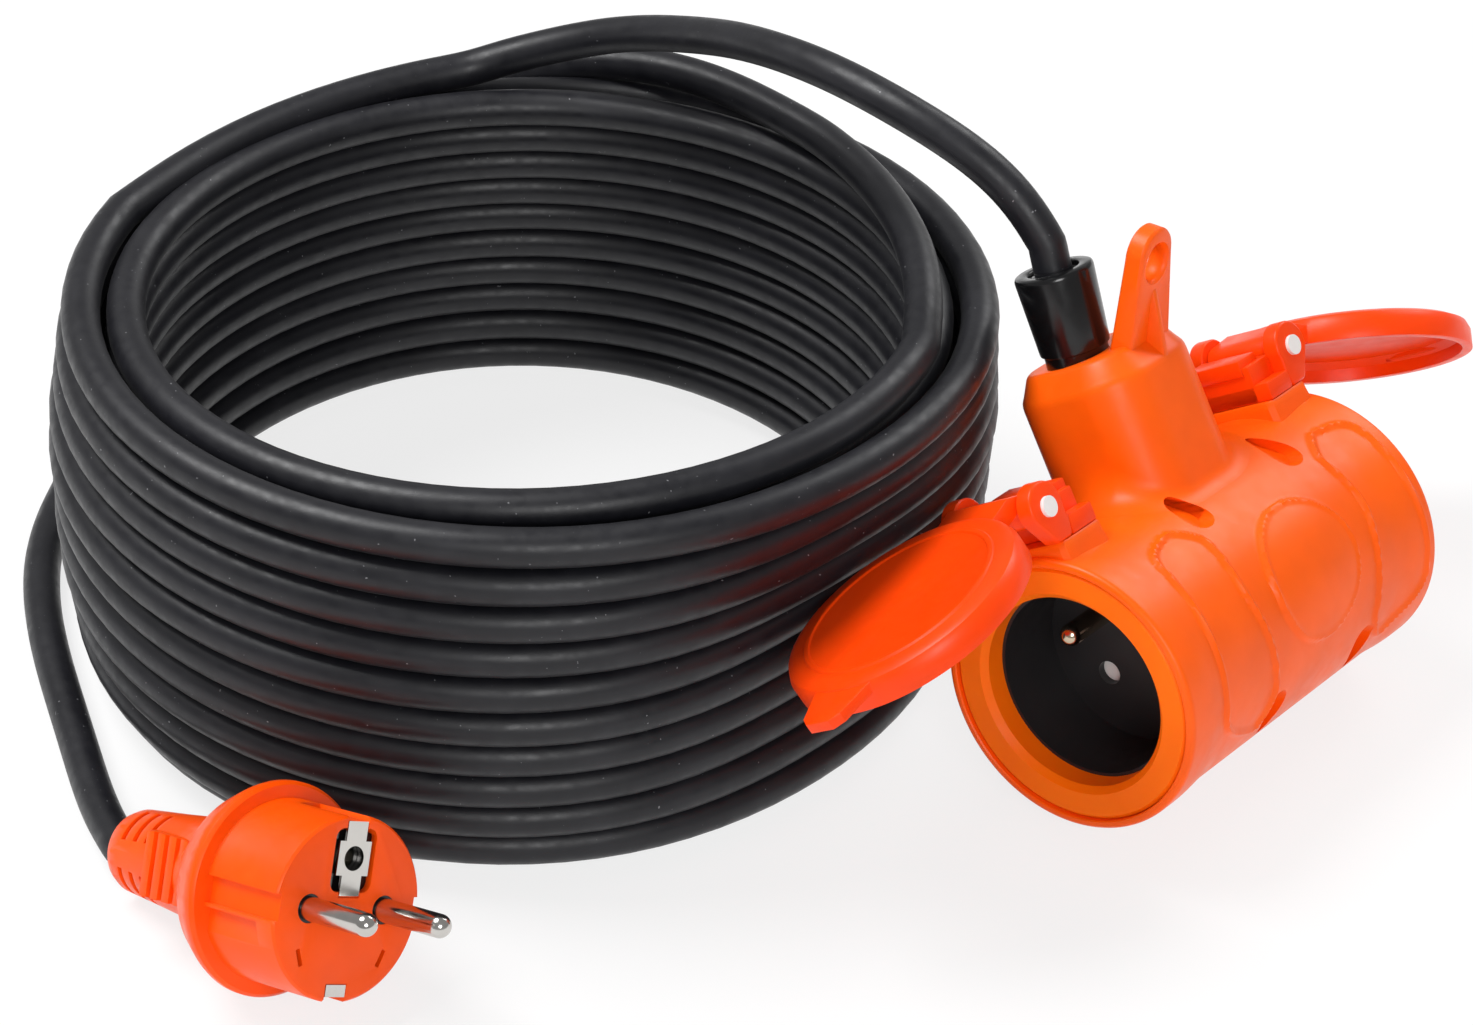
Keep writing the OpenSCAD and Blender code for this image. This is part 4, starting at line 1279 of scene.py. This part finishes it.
    def drop(self, side: float, turn: float, shift: float) -> Piece:
        """Return one teardrop's cutter.

        Args:
            side: -1 or 1, along X.
            turn: Angle of the teardrop's middle from the top.
            shift: Its place along the block from the middle of the side's marks.

        Returns:
            The cutter, proud of the shell.
        """
        floor_r = self.body_r - self.drop_depth
        point = math.copysign(self.drop_point, 90.0 - turn)
        z_mid = self.body_r * math.cos(math.radians(turn))
        least = self.body_r * math.sin(math.radians(turn)) - self.drop_height
        inner, outer = [], []
        for k in range(self.drop_steps):
            swing = math.tau * k / self.drop_steps
            half_width = self.drop_width / 2.0 * (1.0 - point * math.sin(swing))
            y = self.feature_y + shift + half_width * math.cos(swing)
            z = z_mid + self.drop_height / 2.0 * math.sin(swing)
            depth = max(least, math.sqrt(max(0.0, floor_r**2 - z**2)))
            inner.append(Vector((side * depth, y, z)))
            outer.append(Vector((side * (self.body_r + self.cutter_proud), y, z)))
        return loft("drop_cutter", [inner, outer])

    def drop_cutter(self) -> Piece:
        """Return the eight teardrop cutters as one object."""
        return join_pieces(
            [
                self.drop(side, turn, shift)
                for side in (-1.0, 1.0)
                for turn in self.drop_turns
                for shift in (-self.drop_y, self.drop_y)
            ],
            "drop_cutters",
        )

    def shell(self) -> Piece:
        """Return the round shell with its raised and sunk marks.

        Returns:
            The shell.
        """
        shell = lathe("housing_shell", self.profile(), self.steps)
        self.raise_beads(shell)
        cut_away(shell, self.drop_cutter())
        return shell

    def neck(self) -> Piece:
        """Return the neck, with a chamfered shoulder and a foot that flows into the shell.

        Returns:
            The neck, closed inside the shell.
        """
        centre = Vector((self.neck_x, 0.0, 0.0))
        outline = rounded_square(self.neck_w, self.neck_w, self.neck_corner, self.neck_steps)
        rings = []
        for inset, down in self.neck_shoulder:
            level = Vector((0.0, 0.0, self.neck_top - down))
            rings.append([centre + point - inset * out + level for point, out in outline])
        columns = [self.foot_curve(centre + point, out) for point, out in outline]
        rings += [list(ring) for ring in zip(*columns)]
        share, root_z = self.neck_root
        rings.append([Vector((share * point.x, share * point.y, root_z)) for point in rings[-1]])
        neck = loft("housing_neck", rings)
        cut_away(neck, self.drop_cutter())
        return neck

    def foot_curve(self, wall: Vector, out: Vector) -> list[Vector]:
        """Return the points down one line of the neck's wall and out onto the shell.

        Args:
            wall: A point of the wall's outline, at height 0.
            out: The way outwards there.

        Returns:
            The points, from the wall down.
        """
        slope = wall.x / math.sqrt(self.body_r**2 - wall.x**2) * out.x
        tilt = math.atan(slope)
        radius = self.neck_foot * (1.0 - self.neck_foot_easing * abs(out.x))
        reach = radius * math.tan((math.pi / 2.0 - tilt) / 2.0)
        run = reach * math.cos(tilt)
        end = wall + run * out
        end.z = math.sqrt(self.body_r**2 - end.x**2)
        knee = Vector((wall.x, wall.y, end.z + end.x / end.z * out.x * run))
        start = knee + Vector((0.0, 0.0, reach))
        points = [Vector((wall.x, wall.y, start.z + up)) for up in self.neck_wall_heights]
        # The curve from the wall to the shell bends round the knee, where the two would meet.
        for k in range(self.neck_foot_steps + 1):
            t = k / self.neck_foot_steps
            points.append((1.0 - t) ** 2 * start + 2.0 * t * (1.0 - t) * knee + t * t * end)
        beyond = end + self.neck_skirt * out
        beyond.z = math.sqrt(self.body_r**2 - beyond.x**2) - self.neck_skirt_sunk
        points.append(beyond)
        return points

    def hinge_foot(self, end: float) -> Piece:
        """Return the pad that carries a hinge bracket.

        Args:
            end: 1 at the rear, -1 at the front.

        Returns:
            The pad.
        """
        middle = end * sum(self.foot_y) / 2.0
        depth = self.foot_y[1] - self.foot_y[0]
        wider, deeper = self.foot_growth
        rings = []
        for grow, down in self.foot_layers:
            outline = rounded_square(
                self.foot_w + wider * grow, depth + deeper * grow, self.foot_corner,
                self.foot_steps,
            )
            z = self.foot_top - down
            rings.append([Vector((p.x, p.y + middle, z)) for p, _ in outline])
        return loft("hinge_foot", rings)

    def build(self, paint: Paintbox) -> Piece:
        """Model the whole shell and put it in its place.

        Args:
            paint: The materials.

        Returns:
            The housing.
        """
        housing = join_pieces(
            [
                self.shell(), self.neck(), HangingEye().build(),
                self.hinge_foot(-1.0), self.hinge_foot(1.0),
            ],
            "housing_moulding",
        )
        settle(housing, self.frame.place(), self.smooth_turn)
        paint.dress(housing, HOUSING_ORANGE)
        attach(housing, MAIN_BODY)
        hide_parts("socket_housing")
        LOG.info("housing modelled, %d faces", len(housing.data.polygons))
        return housing


@dataclass
class CordGland:
    """The black sleeve on the neck that the cord comes out of, in the block's frame."""

    frame: BlockFrame = BlockFrame()
    foot: Point3 = (-1.0, -5.0, 59.0)
    tilt: float = 7.5
    steps: int = 96
    smooth_turn: float = 30.0
    outline: tuple[Point2, ...] = (
        (4.25, -3.4), (6.9, -3.4), (6.9, 1.9), (7.0, 2.15), (7.25, 2.25), (7.5, 2.4),
        (7.6, 2.75), (8.55, 18.7), (8.5, 19.2), (8.3, 19.6), (7.95, 19.78), (6.0, 19.8),
        (5.7, 19.7), (5.5, 19.4), (5.4, 18.7), (5.15, 18.4), (4.25, 18.3),
    )

    def build(self, paint: Paintbox) -> Piece:
        """Spin the sleeve and stand it on the neck.

        Args:
            paint: The materials.

        Returns:
            The gland.
        """
        gland = lathe("cable_gland_moulding", list(self.outline), self.steps)
        gland.data.transform(turn_about("X", 90.0))
        lean = Matrix.Translation(Vector(self.foot)) @ turn_about("Y", self.tilt)
        gland.data.transform(lean)
        settle(gland, self.frame.place(), self.smooth_turn)
        paint.dress(gland, GLOSS_BLACK)
        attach(gland, MAIN_BODY)
        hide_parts("cable_gland")
        LOG.info("gland modelled, %d faces", len(gland.data.polygons))
        return gland


@dataclass
class HingeBracket:
    """One end's bracket: two round-headed ears, the wall between them and the lid's stop.

    It is drawn from the hinge's axis, in millimetres, with Y towards the block's end. An
    ear's layer is a place from one of its faces and how far the outline is drawn in there.
    """

    end: float
    frame: BlockFrame = BlockFrame()
    smooth_turn: float = 34.0
    hinge_y: float = 47.0
    hinge_z: float = 39.4
    width: float = 24.8
    base: float = -7.9
    toe: float = 0.5
    ear_t: float = 4.0
    ear_middle: Point3 = (0.0, -1.6, -1.6)
    ear_front: Point2 = (0.2, 0.9)
    ear_back: Point2 = (-4.3, -3.8)
    ear_shoulder: Point2 = (-5.1, -4.4)
    ear_inner: tuple[Point2, ...] = ((0.0, 0.35), (0.3, 0.0))
    ear_outer: tuple[Point2, ...] = ((-0.65, 0.0), (-0.3, 0.1), (-0.08, 0.35), (0.0, 0.7))
    head_r: float = 5.2
    head_up: float = 0.3
    head_arc: tuple[int, int, int] = (-24, 205, 8)
    box_edge: float = 0.5
    back_y: float = -13.0
    wall_lap: float = 0.6
    wall_y: float = -4.2
    wall_top: float = 0.4
    sill_y: float = -4.6
    sill_top: float = -3.9
    stop_low: Point3 = (-7.5, -13.6, -1.5)
    stop_high: Point3 = (7.5, -6.6, 2.2)

    def ear_outline(self) -> list[Point2]:
        """Return an ear's outline.

        Returns:
            Points, each a Y and a Z.
        """
        outline = list(zip(self.ear_front, (self.base, self.base + self.toe)))
        for degrees in range(*self.head_arc):
            swing = math.radians(degrees)
            rise = self.head_up + self.head_r * math.sin(swing)
            outline.append((self.head_r * math.cos(swing), rise))
        outline.append(self.ear_shoulder)
        return outline + list(zip(self.ear_back, (self.base + self.toe, self.base)))

    def ear(self, side: float) -> Piece:
        """Return one ear, rounded more on its outer face.

        Args:
            side: 1 or -1, along the hinge's axis.

        Returns:
            The ear.
        """
        outline = self.ear_outline()
        middle = Vector(self.ear_middle)
        far = self.width / 2.0
        near = far - self.ear_t
        layers = [(near + x, inset) for x, inset in self.ear_inner]
        layers += [(far + x, inset) for x, inset in self.ear_outer]
        rings = []
        for x, inset in layers:
            ring = []
            for y, z in outline:
                point = Vector((0.0, y, z))
                point -= inset * (point - middle).normalized()
                ring.append(Vector((side * x, self.end * point.y, point.z)))
            rings.append(ring)
        return loft("bracket_ear", rings)

    def box(self, low: Point3, high: Point3) -> Piece:
        """Return a block with softened edges.

        Args:
            low: Its lowest corner.
            high: Its highest corner.

        Returns:
            The block.
        """
        deselect_all()
        bpy.ops.mesh.primitive_cube_add(size=1.0)
        block = bpy.context.object
        spans = [b - a for a, b in zip(low, high)]
        centre = Vector([(a + b) / 2.0 for a, b in zip(low, high)])
        centre.y *= self.end
        block.data.transform(Matrix.Translation(centre) @ Matrix.Diagonal((*spans, 1.0)))
        soften_edges(block, self.box_edge)
        return block

    def build(self, paint: Paintbox) -> Piece:
        """Model the bracket and put it on its foot.

        Args:
            paint: The materials.

        Returns:
            The bracket.
        """
        name = "rear_hinge_bracket" if self.end > 0.0 else "front_hinge_bracket"
        far = self.width / 2.0
        wall_x = far - self.ear_t + self.wall_lap
        pieces = [
            self.ear(-1.0), self.ear(1.0),
            self.box((-wall_x, self.back_y, self.base), (wall_x, self.wall_y, self.wall_top)),
            self.box((-far, self.back_y, self.base), (far, self.sill_y, self.sill_top)),
            self.box(self.stop_low, self.stop_high),
        ]
        bracket = join_pieces(pieces, name + "_moulding")
        lift = Matrix.Translation(Vector((0.0, self.end * self.hinge_y, self.hinge_z)))
        settle(bracket, self.frame.place() @ lift, self.smooth_turn)
        paint.dress(bracket, SIGNAL_ORANGE)
        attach(bracket, MAIN_BODY)
        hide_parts(name)
        LOG.info("%s modelled, %d faces", name, len(bracket.data.polygons))
        return bracket


@dataclass(frozen=True)
class SoftMoulding:
    """A frame piece whose shape is right, remade with its sharp edges softened."""

    node: str
    slot: str
    body: str
    finish: Moulded
    width_mm: float
    doubles: float = 0.00001
    flat_turn: float = 0.6
    smooth_turn: float = 34.0

    def build(self, nodes: dict[str, Piece], paint: Paintbox) -> Piece:
        """Copy the frame piece, merge it, soften its edges and dress it.

        Args:
            nodes: The frame's objects by name.
            paint: The materials.

        Returns:
            The softened copy.
        """
        piece = bpy.data.objects.new(self.node + "_soft", nodes[self.node].data.copy())
        bpy.context.scene.collection.objects.link(piece)
        make_active(piece)
        bpy.ops.object.mode_set(mode="EDIT")
        bpy.ops.mesh.select_all(action="SELECT")
        bpy.ops.mesh.remove_doubles(threshold=self.doubles)
        bpy.ops.mesh.dissolve_limited(angle_limit=math.radians(self.flat_turn))
        bpy.ops.object.mode_set(mode="OBJECT")
        soften_edges(piece, self.width_mm * MM)
        bpy.ops.object.shade_smooth_by_angle(
            angle=math.radians(self.smooth_turn), keep_sharp_edges=False
        )
        paint.dress(piece, self.finish)
        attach(piece, self.body)
        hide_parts(self.node)
        LOG.info("%s softened, %d faces", self.node, len(piece.data.polygons))
        return piece


SOFT_MOULDINGS = (
    SoftMoulding("front_lid", "signal", "front_cover", SIGNAL_ORANGE, 0.35),
    SoftMoulding("rear_lid", "signal", "rear_cover", SIGNAL_ORANGE, 0.35),
    SoftMoulding("plug_body", "signal", MAIN_BODY, PLUG_ORANGE, 0.3),
)


# ---------------------------------------------------------------- main


def dress_frame(nodes: dict[str, Piece], paint: Paintbox) -> None:
    """Give every frame piece that shows its finish.

    Args:
        nodes: The frame's objects by name.
        paint: The materials.
    """
    for finish, names in FRAME_FINISHES.items():
        for name in names:
            paint.dress(nodes[name], finish)
            LOG.info("%s dressed in %s", name, finish.name)


def main() -> None:
    """Build the scene in order: camera, cord, mouldings and finishes."""
    logging.basicConfig(level=logging.INFO, format="%(message)s")
    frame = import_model()
    deselect_all()
    coil_centre = Vector(COIL_CENTRE_MM) * MM
    Studio(coil_centre).build()
    paint = Paintbox()
    cord_run = CordRun(coil_centre)
    cord = cord_run.build(paint)
    SocketHousing().build(paint)
    CordGland().build(paint)
    for end in (-1.0, 1.0):
        HingeBracket(end).build(paint)
    dress_frame(frame["nodes"], paint)
    for moulding in SOFT_MOULDINGS:
        moulding.build(frame["nodes"], paint)
    cord_run.declare()


if __name__ == "__main__":
    main()
